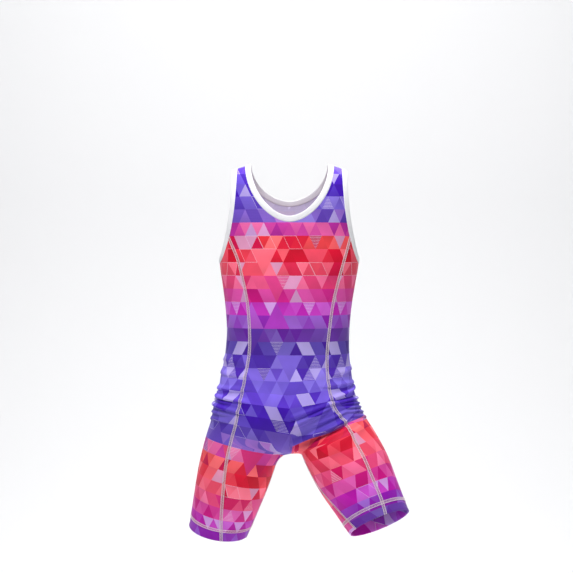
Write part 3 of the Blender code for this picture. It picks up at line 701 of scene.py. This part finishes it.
TRIANGLE_BASE = 0.0183
TRIANGLE_HEIGHT = 0.0188
PRINT_START = 0.0062
BANDS = [
    (0.37, 0.27, 0.76),
    (0.33, 0.22, 0.72),
    (0.44, 0.36, 0.76),
    (0.50, 0.40, 0.78),
    (0.82, 0.30, 0.64),
    (0.93, 0.30, 0.32),
    (0.95, 0.32, 0.38),
    (0.95, 0.37, 0.46),
    (0.95, 0.39, 0.56),
    (0.85, 0.28, 0.60),
    (0.82, 0.32, 0.80),
    (0.60, 0.34, 0.78),
    (0.43, 0.27, 0.65),
    (0.34, 0.26, 0.65),
    (0.43, 0.34, 0.76),
    (0.50, 0.40, 0.86),
    (0.54, 0.46, 0.91),
    (0.46, 0.34, 0.88),
]
LEANING_PAIRS = 0.30
RISING_PAIRS = 0.26
FOURS = 0.14
BAND_DRIFT = 0.035
WEAKEST, STRENGTH_RANGE = 0.70, 0.56
RICHEST, RICHNESS_RANGE = 1.18, 0.26
FADE_IN_CELL = 0.55
PALE_CELLS, PALENESS = 0.08, 0.46
PALE_LILAC = (0.76, 0.64, 1.0, 1.0)
RULED_CELLS, RULES_IN_CELL, RULE_WIDTH = 0.03, 9, 0.34
OUTLINED_PAIRS, OUTLINE_WIDTH = 0.06, 0.026
LINE_STRENGTH = 0.50
LINE_COLOUR = (0.88, 0.76, 0.94, 1.0)
LEAN_PAIR_MARK, RISE_PAIR_MARK = 90.5, 50.5
FOUR_SEED, RISE_SEED, LEAN_SEED, CELL_SEED, RULED_SEED, OUTLINED_SEED = 4.0, 3.0, 2.0, 7.0, 11.0, 13.0
PRINT_BLEED = 0.0008
REVERSE_PALENESS = 0.72
REVERSE_COLOUR = (0.80, 0.76, 0.86, 1.0)
FUZZ_SCALE, SHADE_SCALE, WALE_SCALE, COURSE_SCALE = 1500.0, 55.0, 180.0, 140.0
DARKEST_SHADE, LIGHTEST_SHADE = 0.88, 1.10
COURSE_RELIEF = 0.6


def screen_colour(*levels):
    """A printed colour as the linear light that the shader takes."""
    return tuple(level / 12.92 if level <= 0.04045 else ((level + 0.055) / 1.055) ** 2.4 for level in levels)


class Value:
    """A number, place or colour in a node tree. Numbers take part in ordinary arithmetic."""

    def __init__(self, socket):
        self.socket = socket

    def __add__(self, other):
        return maths("ADD", self, other)

    def __sub__(self, other):
        return maths("SUBTRACT", self, other)

    def __rsub__(self, other):
        return maths("SUBTRACT", other, self)

    def __mul__(self, other):
        return maths("MULTIPLY", self, other)

    def __truediv__(self, other):
        return maths("DIVIDE", self, other)

    def __lt__(self, other):
        return maths("LESS_THAN", self, other)


def add(tree, kind, inputs=None, **settings):
    """The values that come out of a new node with these settings and inputs."""
    node = tree.nodes.new(kind)
    for name, setting in settings.items():
        setattr(node, name, setting)
    for name, given in (inputs or {}).items():
        if isinstance(given, Value):
            tree.links.new(given.socket, node.inputs[name])
        else:
            node.inputs[name].default_value = given
    return [Value(socket) for socket in node.outputs]


def tree_of(*values):
    """The node tree that some of the values come from."""
    return next(value.socket.id_data for value in values if isinstance(value, Value))


def maths(operation, a, b=0.0):
    return add(tree_of(a, b), "ShaderNodeMath", {0: a, 1: b}, operation=operation)[0]


def chosen(kind, share, usual, other):
    """The usual value, or the other one where share is 1. kind is VECTOR, FLOAT or RGBA."""
    first = {"FLOAT": 2, "VECTOR": 4, "RGBA": 6}[kind]
    inputs = {0: share, first: usual, first + 1: other}
    return add(tree_of(share, usual), "ShaderNodeMix", inputs, data_type=kind)[first // 2 - 1]


def triple(a, b, c):
    """Three numbers made one place or name."""
    return add(tree_of(a, b, c), "ShaderNodeCombineXYZ", {0: a, 1: b, 2: c})[0]


def chance(cell, seed):
    """A random number and a random colour for each cell."""
    return add(tree_of(cell), "ShaderNodeTexWhiteNoise", {"Vector": cell, "W": seed}, noise_dimensions="4D")


def recoloured(colour, strength, richness=1.0):
    """A colour made stronger or weaker, and richer or duller."""
    inputs = {"Color": colour, "Value": strength, "Saturation": richness}
    return add(tree_of(colour, strength), "ShaderNodeHueSaturation", inputs)[0]


def cloud(place, scale, detail=2.0):
    """A softly changing number and colour."""
    return add(tree_of(place), "ShaderNodeTexNoise", {"Vector": place, "Scale": scale, "Detail": detail})


def between(share, low, high):
    return add(tree_of(share), "ShaderNodeMapRange", {"Value": share, "To Min": low, "To Max": high})[0]


def ribs(place, direction, scale, distortion, detail_scale=1.0):
    """Fine wavering ridges across a direction."""
    inputs = {"Vector": place, "Scale": scale, "Distortion": distortion, "Detail Scale": detail_scale}
    return add(tree_of(place), "ShaderNodeTexWave", inputs, bands_direction=direction)[1]


def triangle_cells(across, down, size):
    """The row and the two slanting stripes that a place lies in, for triangles of a size."""
    row = down / (size * TRIANGLE_HEIGHT)
    along = across / (size * TRIANGLE_BASE)
    half_row = row * 0.5
    return [maths("FLOOR", stripe) for stripe in (row, along - half_row, along + half_row)]


def band_colour(place):
    """The bands' colour at a place, from 0 to 1 down one run of them."""
    tree = tree_of(place)
    colour = add(tree, "ShaderNodeValToRGB", {0: place})[0]
    ramp = colour.socket.node.color_ramp
    ramp.elements.remove(ramp.elements[1])  # a new ramp's end stop, which would stay white
    for k, band in enumerate(BANDS):
        element = ramp.elements[0] if k == 0 else ramp.elements.new((k + 0.5) / len(BANDS))
        element.position = (k + 0.5) / len(BANDS)
        element.color = (*screen_colour(*band), 1.0)
    return colour


def mosaic(across, down):
    """The print's colour at a place of the cloth, with fine pale lines on some of its cells."""
    tree = tree_of(across)
    down = down - PRINT_START
    row, lean, rise = triangle_cells(across, down, 1)
    wide_row, wide_lean, wide_rise = triangle_cells(across, down, 2)
    small, four = triple(row, lean, rise), triple(wide_row, wide_lean, wide_rise)
    lean_pair, rise_pair = triple(row, lean, LEAN_PAIR_MARK), triple(row, rise, RISE_PAIR_MARK)
    is_four = chance(four, FOUR_SEED)[0] < FOURS
    cell = chosen("VECTOR", chance(rise_pair, RISE_SEED)[0] < RISING_PAIRS, small, rise_pair)
    cell = chosen("VECTOR", chance(lean_pair, LEAN_SEED)[0] < LEANING_PAIRS, cell, lean_pair)
    cell = chosen("VECTOR", is_four, cell, four)
    middle = chosen("FLOAT", is_four, (row + 0.5) * TRIANGLE_HEIGHT, (wide_row + 0.5) * (2 * TRIANGLE_HEIGHT))
    row_share = maths("FRACT", down / TRIANGLE_HEIGHT)
    cell_share = chosen("FLOAT", is_four, row_share, maths("FRACT", down / (2 * TRIANGLE_HEIGHT)))
    tone, tints = chance(cell, CELL_SEED)
    hue_tint, fade_tint, pale_tint = add(tree, "ShaderNodeSeparateColor", {0: tints})
    place = middle / (len(BANDS) * TRIANGLE_HEIGHT) + (hue_tint - 0.5) * BAND_DRIFT
    fade = (fade_tint - 0.5) * FADE_IN_CELL * (cell_share - 0.5) + 1.0
    strength = (tone * STRENGTH_RANGE + WEAKEST) * fade
    colour = recoloured(band_colour(maths("FRACT", place)), strength, RICHEST - tone * RICHNESS_RANGE)
    colour = chosen("RGBA", (pale_tint < PALE_CELLS) * PALENESS, colour, PALE_LILAC)
    rules = maths("FRACT", down / (TRIANGLE_HEIGHT / RULES_IN_CELL)) < RULE_WIDTH
    ruled = rules * (chance(small, RULED_SEED)[0] < RULED_CELLS)
    lean_share = maths("FRACT", across / TRIANGLE_BASE - down / (2 * TRIANGLE_HEIGHT))
    to_side = maths("MINIMUM", maths("PINGPONG", row_share, 0.5), maths("PINGPONG", lean_share, 0.5))
    outlined = (to_side < OUTLINE_WIDTH) * (chance(lean_pair, OUTLINED_SEED)[0] < OUTLINED_PAIRS)
    return chosen("RGBA", maths("MAXIMUM", ruled, outlined) * LINE_STRENGTH, colour, LINE_COLOUR)


def surfaced(tree, colour, relief, strength, depth):
    """Give a material its colour and its fine relief."""
    bump = add(tree, "ShaderNodeBump", {"Height": relief, "Strength": strength, "Distance": depth})[0]
    tree.links.new(colour.socket, tree.nodes["Principled BSDF"].inputs["Base Color"])
    tree.links.new(bump.socket, tree.nodes["Principled BSDF"].inputs["Normal"])


def knit_look(name, paleness):
    """Printed jersey: colour from the cloth's own flat chart, fine wales, and the sheen of its fibres."""
    look, tree = new_look(name, {"Roughness": 0.58, "Specular IOR Level": 0.22, "Sheen Weight": 0.04,
                                 "Sheen Roughness": 0.45})
    chart = add(tree, "ShaderNodeUVMap", uv_map="flat_chart")[0]
    fuzz = cloud(chart, FUZZ_SCALE)[1]
    fuzz = add(tree, "ShaderNodeVectorMath", {0: fuzz, 1: (0.5, 0.5, 0.5)}, operation="SUBTRACT")[0]
    fuzz = add(tree, "ShaderNodeVectorMath", {0: fuzz, "Scale": PRINT_BLEED}, operation="SCALE")[0]
    place = add(tree, "ShaderNodeVectorMath", {0: chart, 1: fuzz}, operation="ADD")[0]
    across, down, _ = add(tree, "ShaderNodeSeparateXYZ", {0: place})
    shade = between(cloud(chart, SHADE_SCALE, 3.0)[0], DARKEST_SHADE, LIGHTEST_SHADE)
    colour = chosen("RGBA", paleness, recoloured(mosaic(across, down), shade), REVERSE_COLOUR)
    wales = ribs(chart, "X", WALE_SCALE, 1.2, 3.0)
    courses = ribs(chart, "Y", COURSE_SCALE, 1.0)
    surfaced(tree, colour, wales + courses * COURSE_RELIEF, strength=0.22, depth=0.0004)
    return look


KNIT_OUTSIDE = knit_look("printed_knit", 0.0)
KNIT_INSIDE = knit_look("knit_reverse", REVERSE_PALENESS)

# ---------------------------------------------------------------- front and back panels
# Each is one piece of jersey from the shoulder seams to both leg hems, split at the crotch. Each hem
# is turned up 16 mm to the inside and sewn down.

CLOTH_THICKNESS = 0.0009
HEM_TURN_RADIUS = 0.0006
HEM_TURN_ROWS = 3
Cut = namedtuple("Cut", "width length area")
FRONT_CUT = Cut(0.250, 0.600, 0.0700)
BACK_CUT = Cut(0.270, 0.620, 0.0810)


def row_normals(points, side):
    """Outward directions at each point of a panel's rows."""
    return unit(np.cross(np.gradient(points, axis=0), np.gradient(points, axis=1)) * side)


def with_hem(cloth, side):
    """A leg's rows, carried on round the fold of the hem and up the inside."""
    normals = row_normals(cloth.points, side)
    on_hem = HEM_ROWS + 1
    edge, out = cloth.points[-1], normals[-1]
    along = unit(cloth.points[-1] - cloth.points[-2])
    turned, chart = [], []
    for turn in np.linspace(0, math.pi, HEM_TURN_ROWS + 2)[1:-1]:
        inset = HEM_TURN_RADIUS * (1 - math.cos(turn))
        turned.append(edge - out * inset + along * HEM_TURN_RADIUS * math.sin(turn))
        chart.append(cloth.chart[-1] + (0, HEM_TURN_RADIUS * turn))
    inner = cloth.points[-on_hem:][::-1] - normals[-on_hem:][::-1] * 2 * HEM_TURN_RADIUS
    inner_chart = cloth.chart[-on_hem:][::-1].copy()
    inner_chart[..., 1] = 2 * cloth.chart[-1, :, 1] - inner_chart[..., 1] + math.pi * HEM_TURN_RADIUS
    points = np.concatenate([cloth.points, turned, inner])
    return Cloth(points, np.concatenate([cloth.chart, chart, inner_chart]))


def squares(grid):
    """The four corners of each square of a grid."""
    return np.stack([grid[:-1, :-1], grid[1:, :-1], grid[1:, 1:], grid[:-1, 1:]], axis=2)


def charted_piece(name, points, faces, chart, looks):
    """A smooth piece of cloth or tape, with a flat chart for its finish."""
    mesh = bpy.data.meshes.new(name)
    mesh.from_pydata(points.tolist(), [], faces.tolist())
    mesh.uv_layers.new(name="flat_chart").data.foreach_set("uv", chart.astype(np.float32).ravel())
    for look in looks:
        mesh.materials.append(look)
    mesh.shade_smooth()
    return placed(name, mesh)


def cloth_piece(name, pieces, shared_rows=None, shared_column=None):
    """Grids of rows made one shell of jersey. The grids share one column for their shared rows."""
    points, charts, faces = [], [], []
    first_grid = None
    for cloth, side in pieces:
        rows, columns = cloth.points.shape[:2]
        grid = len(points) + np.arange(rows * columns).reshape(rows, columns)
        points.extend(cloth.points.reshape(-1, 3))
        charts.extend(cloth.chart.reshape(-1, 2))
        if first_grid is None:
            first_grid = grid
        else:
            grid[shared_rows, shared_column] = first_grid[shared_rows, shared_column]
        faces.append(squares(grid).reshape(-1, 4)[:, ::side])
    used, faces = np.unique(np.concatenate(faces), return_inverse=True)
    faces = faces.reshape(-1, 4)
    points, charts = np.array(points)[used], np.array(charts)[used]
    piece = charted_piece(name, points, faces, charts[faces], [KNIT_OUTSIDE, KNIT_INSIDE])
    wall = piece.modifiers.new("cloth", "SOLIDIFY")
    wall.thickness = CLOTH_THICKNESS
    wall.offset = 0
    wall.material_offset = 1
    wall.material_offset_rim = 0
    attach(piece, "root")
    return piece


for panel, cut, middle in (("front", FRONT_CUT, 0), ("back", BACK_CUT, -1)):
    two_halves = [(with_hem(halves[leg.name, panel], leg.side), leg.side) for leg in LEGS]
    panel_piece = cloth_piece(f"{panel}_cloth", two_halves, slice(ROWS_BESIDE_NECK, CROTCH_ROW + 1), middle)
    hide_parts(f"{panel}_panel")

# ---------------------------------------------------------------- side panels
# Narrow panels of the same jersey from the armholes to the hems, cut to their own place in the print,
# so the mosaic breaks at their seams.

SIDE_PRINT_SHIFT = {"right": (0.0071, 0.0), "left": (0.0117, 0.0)}
for leg in LEGS:
    side_cloth = halves[leg.name, "side"]
    side_cloth = side_cloth._replace(chart=side_cloth.chart + SIDE_PRINT_SHIFT[leg.name])
    side_piece = cloth_piece(f"side_cloth_{leg.name}", [(with_hem(side_cloth, leg.side), leg.side)])
    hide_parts(f"side_panel_{leg.name}")

# ---------------------------------------------------------------- bindings
# White knit tape, folded in half over the raw edges of the neck and armholes and sewn through with a
# twin needle. It reaches 8 mm beyond the panels' edges, and its fold is rounded.

TAPE_WIDTH = 0.0078
TAPE_GAP = 0.00045
TAPE_LAP = 0.0004
TAPE_THICKNESS = 0.0024
TAPE_STEP = 0.0022
TAPE_SECTION_POINTS = 22
TAPE_SQUARENESS = 0.62
TAPE_SMOOTHINGS = 3
TAPE_SHADE = (0.80, 0.79, 0.82, 1.0)
TAPE_LIGHT = (0.90, 0.90, 0.92, 1.0)

TAPE_LOOK, tape_tree = new_look("binding_tape", {"Roughness": 0.72, "Sheen Weight": 0.15})
tape_chart = add(tape_tree, "ShaderNodeUVMap", uv_map="flat_chart")[0]
tape_colour = chosen("RGBA", cloud(tape_chart, 90.0, 3.0)[0], TAPE_SHADE, TAPE_LIGHT)
surfaced(tape_tree, tape_colour, ribs(tape_chart, "X", 260.0, 0.8), strength=0.35, depth=0.0003)


def joined_edges(edges):
    """Edges run end to end round a loop, with the two points at each meeting averaged into one."""
    points, normals = [], []
    for edge_points, edge_normals in edges:
        edge_points, edge_normals = list(edge_points), list(edge_normals)
        if points:
            points[-1] = (points[-1] + edge_points[0]) / 2
            normals[-1] = normals[-1] + edge_normals[0]
            edge_points, edge_normals = edge_points[1:], edge_normals[1:]
        points.extend(edge_points)
        normals.extend(edge_normals)
    points[0] = (points[0] + points.pop()) / 2
    normals[0] = normals[0] + normals.pop()
    loop = np.concatenate([points, normals], axis=1)
    loop = np.concatenate([loop, loop[:1]])
    lengths = lengths_along(loop[:, :3])
    loop = points_at(loop, lengths, np.linspace(0, lengths[-1], round(lengths[-1] / TAPE_STEP) + 1)[:-1])
    for _ in range(TAPE_SMOOTHINGS):
        loop = (np.roll(loop, 1, axis=0) + 2 * loop + np.roll(loop, -1, axis=0)) / 4
    return loop[:, :3], unit(loop[:, 3:])


def into_opening(points, normals, side):
    """Directions from the panels' edge on into the opening."""
    along = np.roll(points, -1, axis=0) - np.roll(points, 1, axis=0)
    return unit(np.cross(along, normals) * -side)


def squared(wave):
    """A sine or cosine drawn out towards a square, for the section of the folded tape."""
    return np.sign(wave) * np.abs(wave) ** TAPE_SQUARENESS


def tape_piece(name, points, normals, side):
    """A closed loop of folded tape."""
    beyond = into_opening(points, normals, side)
    half_width = (TAPE_WIDTH + TAPE_GAP + TAPE_LAP) / 2
    turns = np.linspace(0, 2 * math.pi, TAPE_SECTION_POINTS, endpoint=False)
    across = half_width - TAPE_LAP + half_width * squared(np.cos(turns))
    out = TAPE_THICKNESS / 2 * squared(np.sin(turns))
    body = points[:, None] + beyond[:, None] * across[None, :, None] + normals[:, None] * out[None, :, None]
    count, section = body.shape[:2]
    grid = np.arange(count * section).reshape(count, section)
    faces = squares(np.pad(grid, ((0, 1), (0, 1)), mode="wrap")).reshape(-1, 4)[:, ::side]
    loop_lengths = np.arange(count + 1) * TAPE_STEP
    round_lengths = np.arange(section + 1) / section * 2 * half_width
    chart = squares(np.stack(np.meshgrid(loop_lengths, round_lengths, indexing="ij"), axis=-1))
    piece = charted_piece(name, body.reshape(-1, 3), faces, chart.reshape(-1, 4, 2)[:, ::side], [TAPE_LOOK])
    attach(piece, "root")
    return piece


def edge_of(leg, panel, rows, columns, backwards=False):
    """The points along an edge or a row of a panel, and their outward directions."""
    points = halves[leg.name, panel].points
    step = -1 if backwards else 1
    return [grid[rows, columns][::step] for grid in (points, row_normals(points, leg.side))]


beside_neck = slice(0, ROWS_BESIDE_NECK + 1)
right, left = LEGS
neck_loop = joined_edges([
    edge_of(right, "front", beside_neck, 0),
    edge_of(left, "front", beside_neck, 0, backwards=True),
    edge_of(left, "back", beside_neck, -1),
    edge_of(right, "back", beside_neck, -1, backwards=True),
])
neck_tape = tape_piece("neck_tape", *neck_loop, 1)
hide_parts("neck_binding")
arm_loops = {}
for leg in LEGS:
    arm_loops[leg.name] = joined_edges([
        edge_of(leg, "front", beside_neck, -1),
        edge_of(leg, "side", 0, slice(None)),
        edge_of(leg, "back", beside_neck, 0, backwards=True),
    ])
    arm_tape = tape_piece(f"armhole_tape_{leg.name}", *arm_loops[leg.name], leg.side)
    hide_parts(f"armhole_binding_{leg.name}")

# ---------------------------------------------------------------- sewing
# Flatlock seams: two rows of needle thread with the looper threads crossing between them, in a pale
# grey lilac thread. The hems have the same stitch. The bindings have two plain rows in white.

LILAC = (0.80, 0.66, 0.72, 1.0)
WHITE = (0.86, 0.86, 0.88, 1.0)
FLATLOCK_STEP = 0.0024
FLATLOCK_WIDTH = 0.0036
FLATLOCK_THREAD = 0.00040
TOPSTITCH_STEP = 0.0026
TOPSTITCH_WIDTH = 0.0026
TOPSTITCH_THREAD = 0.00018
TOPSTITCH_INSET = 0.0024
INSEAM_WIDTH = FLATLOCK_WIDTH * 0.7
INSEAM_THREAD = FLATLOCK_THREAD * 0.8
ON_CLOTH = CLOTH_THICKNESS / 2 + FLATLOCK_THREAD * 0.5
ON_TAPE = TAPE_THICKNESS / 2 + TOPSTITCH_THREAD * 0.3
THREAD_SINKS = -0.6
UNEVENNESS = 0.07
TWIST_SCALE = 1400.0
DARKEST_THREAD, LIGHTEST_THREAD = 0.80, 1.15


def thread_look(name, colour):
    """Spun polyester thread, unevenly shaded along its twist."""
    look, tree = new_look(name, {"Roughness": 0.5, "Sheen Weight": 0.2})
    object_place = add(tree, "ShaderNodeTexCoord")[3]
    twist = cloud(object_place, TWIST_SCALE)[0]
    shade = between(twist, DARKEST_THREAD, LIGHTEST_THREAD)
    surfaced(tree, recoloured(colour, shade), twist, strength=0.4, depth=0.0002)
    return look


Strand = namedtuple("Strand", "start_x start_y end_x end_y arch thickness")


def stitch_tree(name, strands):
    """A tree that sews along a line of points. Strands run between corners of one stitch's oblong."""
    tree = bpy.data.node_groups.new(name, "GeometryNodeTree")
    tree.interface.new_socket("Line", in_out="INPUT", socket_type="NodeSocketGeometry")
    for socket, kind in (("Stitch length", "Float"), ("Row width", "Float"), ("Thread radius", "Float"),
                         ("Unevenness", "Float"), ("Seed", "Int"), ("Thread", "Material")):
        tree.interface.new_socket(socket, in_out="INPUT", socket_type=f"NodeSocket{kind}")
    tree.interface.new_socket("Sewing", in_out="OUTPUT", socket_type="NodeSocketGeometry")
    line, length, width, thread_radius, unevenness, seed, thread = add(tree, "NodeGroupInput")[:7]
    stitch = tree.nodes.new("GeometryNodeJoinGeometry")
    for strand in strands:
        ends = ((strand.start_x, strand.start_y, THREAD_SINKS),
                ((strand.start_x + strand.end_x) / 2, (strand.start_y + strand.end_y) / 2, strand.arch),
                (strand.end_x, strand.end_y, THREAD_SINKS))
        corners = [triple(length * 0.5 * x, width * 0.5 * y, thread_radius * lift) for x, y, lift in ends]
        curve = add(tree, "GeometryNodeCurveQuadraticBezier",
                    {"Resolution": 4, "Start": corners[0], "Middle": corners[1], "End": corners[2]})[0]
        section = add(tree, "GeometryNodeCurvePrimitiveCircle",
                      {"Resolution": 5, "Radius": thread_radius * strand.thickness})[0]
        strand_mesh = add(tree, "GeometryNodeCurveToMesh", {"Curve": curve, "Profile Curve": section})[0]
        tree.links.new(strand_mesh.socket, stitch.inputs[0])
    line = add(tree, "GeometryNodeMeshToCurve", {"Mesh": line})[0]
    line = add(tree, "GeometryNodeResampleCurve", {"Curve": line, "Length": length}, mode="LENGTH")[0]
    up = add(tree, "GeometryNodeInputNamedAttribute", {"Name": "up"}, data_type="FLOAT_VECTOR")[0]
    along = add(tree, "GeometryNodeInputTangent")[0]
    facing = add(tree, "FunctionNodeAxesToRotation", {0: up, 1: along},
                 primary_axis="Z", secondary_axis="X")[0]
    tilt = add(tree, "FunctionNodeRandomValue", {"Seed": seed, 2: unevenness * -1.0, 3: unevenness},
               data_type="FLOAT")[1]
    tilt = add(tree, "FunctionNodeAxisAngleToRotation", {"Axis": (0, 0, 1), "Angle": tilt})[0]
    facing = add(tree, "FunctionNodeRotateRotation", {0: facing, 1: tilt}, rotation_space="LOCAL")[0]
    sewn = add(tree, "GeometryNodeInstanceOnPoints",
               {"Points": line, "Instance": Value(stitch.outputs[0]), "Rotation": facing})[0]
    sewn = add(tree, "GeometryNodeRealizeInstances", {0: sewn})[0]
    sewn = add(tree, "GeometryNodeSetShadeSmooth", {0: sewn})[0]
    sewn = add(tree, "GeometryNodeSetMaterial", {"Geometry": sewn, "Material": thread})[0]
    tree.links.new(sewn.socket, tree.nodes.new("NodeGroupOutput").inputs[0])
    return tree


Stitch = namedtuple("Stitch", "tree step width radius thread")
FLATLOCK = Stitch(stitch_tree("flatlock", [
    Strand(-1.0, -1, 1.0, -1, 1.6, 1.0), Strand(-1.0, 1, 1.0, 1, 1.6, 1.0),
    Strand(-1.0, -1, 0.0, 1, 0.6, 0.5), Strand(0.0, 1, 1.0, -1, 0.6, 0.5),
]), FLATLOCK_STEP, FLATLOCK_WIDTH, FLATLOCK_THREAD, thread_look("lilac_thread", LILAC))
INSEAM_FLATLOCK = FLATLOCK._replace(width=INSEAM_WIDTH, radius=INSEAM_THREAD)
TOPSTITCH = Stitch(stitch_tree("topstitch", [
    Strand(-0.80, -1, 0.80, -1, 1.5, 1.0), Strand(-0.80, 1, 0.80, 1, 1.5, 1.0),
]), TOPSTITCH_STEP, TOPSTITCH_WIDTH, TOPSTITCH_THREAD, thread_look("white_thread", WHITE))


def sewing(name, stitch, points, up, closed, seed):
    """Stitches along a line of points that lie on the cloth, as one plain mesh."""
    mesh = bpy.data.meshes.new(f"{name}_line")
    count = len(points)
    edges = [(k, k + 1) for k in range(count - 1)] + ([(count - 1, 0)] if closed else [])
    mesh.from_pydata(points.tolist(), edges, [])
    attribute = mesh.attributes.new("up", "FLOAT_VECTOR", "POINT")
    attribute.data.foreach_set("vector", up.astype(np.float32).ravel())
    line = placed(f"{name}_line", mesh)
    modifier = line.modifiers.new("sewing", "NODES")
    modifier.node_group = stitch.tree
    values = {"Stitch length": stitch.step, "Row width": stitch.width, "Thread radius": stitch.radius,
              "Unevenness": UNEVENNESS, "Seed": seed, "Thread": stitch.thread}
    for socket in stitch.tree.interface.items_tree:
        if socket.in_out == "INPUT" and socket.name in values:
            modifier[socket.identifier] = values[socket.name]
    bpy.context.view_layer.update()
    made = bpy.data.meshes.new_from_object(line.evaluated_get(bpy.context.evaluated_depsgraph_get()))
    made.name = name
    bpy.data.objects.remove(line, do_unlink=True)
    piece = placed(name, made)
    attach(piece, "root")


def seam_sewing(name, stitch, edge, other_edge, seed):
    """Stitches along the line midway between the edges of two panels."""
    up = unit(edge[1] + other_edge[1])
    sewing(name, stitch, (edge[0] + other_edge[0]) / 2 + up * ON_CLOTH, up, False, seed)


HEM_ROW = -1 - HEM_ROWS
HEM_SEEDS, INSEAM_SEEDS, TAPE_SEEDS = 20, 40, 60
seam_rows = slice(ROWS_BESIDE_NECK, None)
inseam_rows = slice(CROTCH_ROW + 2, None)
seed = 1
for leg in LEGS:
    for panel, panel_column, side_column in (("front", -1, 0), ("back", 0, -1)):
        seam_sewing(f"seam_{panel}_{leg.name}", FLATLOCK, edge_of(leg, panel, seam_rows, panel_column),
                    edge_of(leg, "side", slice(None), side_column), seed)
        seed += 1
    hem_line, hem_up = joined_edges([edge_of(leg, panel, HEM_ROW, slice(None)) for panel in COLUMNS])
    sewing(f"hem_sewing_{leg.name}", FLATLOCK, hem_line + hem_up * ON_CLOTH, hem_up, True, seed + HEM_SEEDS)
    seam_sewing(f"inseam_{leg.name}", INSEAM_FLATLOCK, edge_of(leg, "front", inseam_rows, 0),
                edge_of(leg, "back", inseam_rows, -1), seed + INSEAM_SEEDS)

for name, (points, normals), side in (("neck", neck_loop, 1), ("armhole_right", arm_loops["right"], -1),
                                      ("armhole_left", arm_loops["left"], 1)):
    on_tape = points + into_opening(points, normals, side) * TOPSTITCH_INSET + normals * ON_TAPE
    sewing(f"{name}_topstitch", TOPSTITCH, on_tape, normals, True, seed + TAPE_SEEDS)
    seed += 1
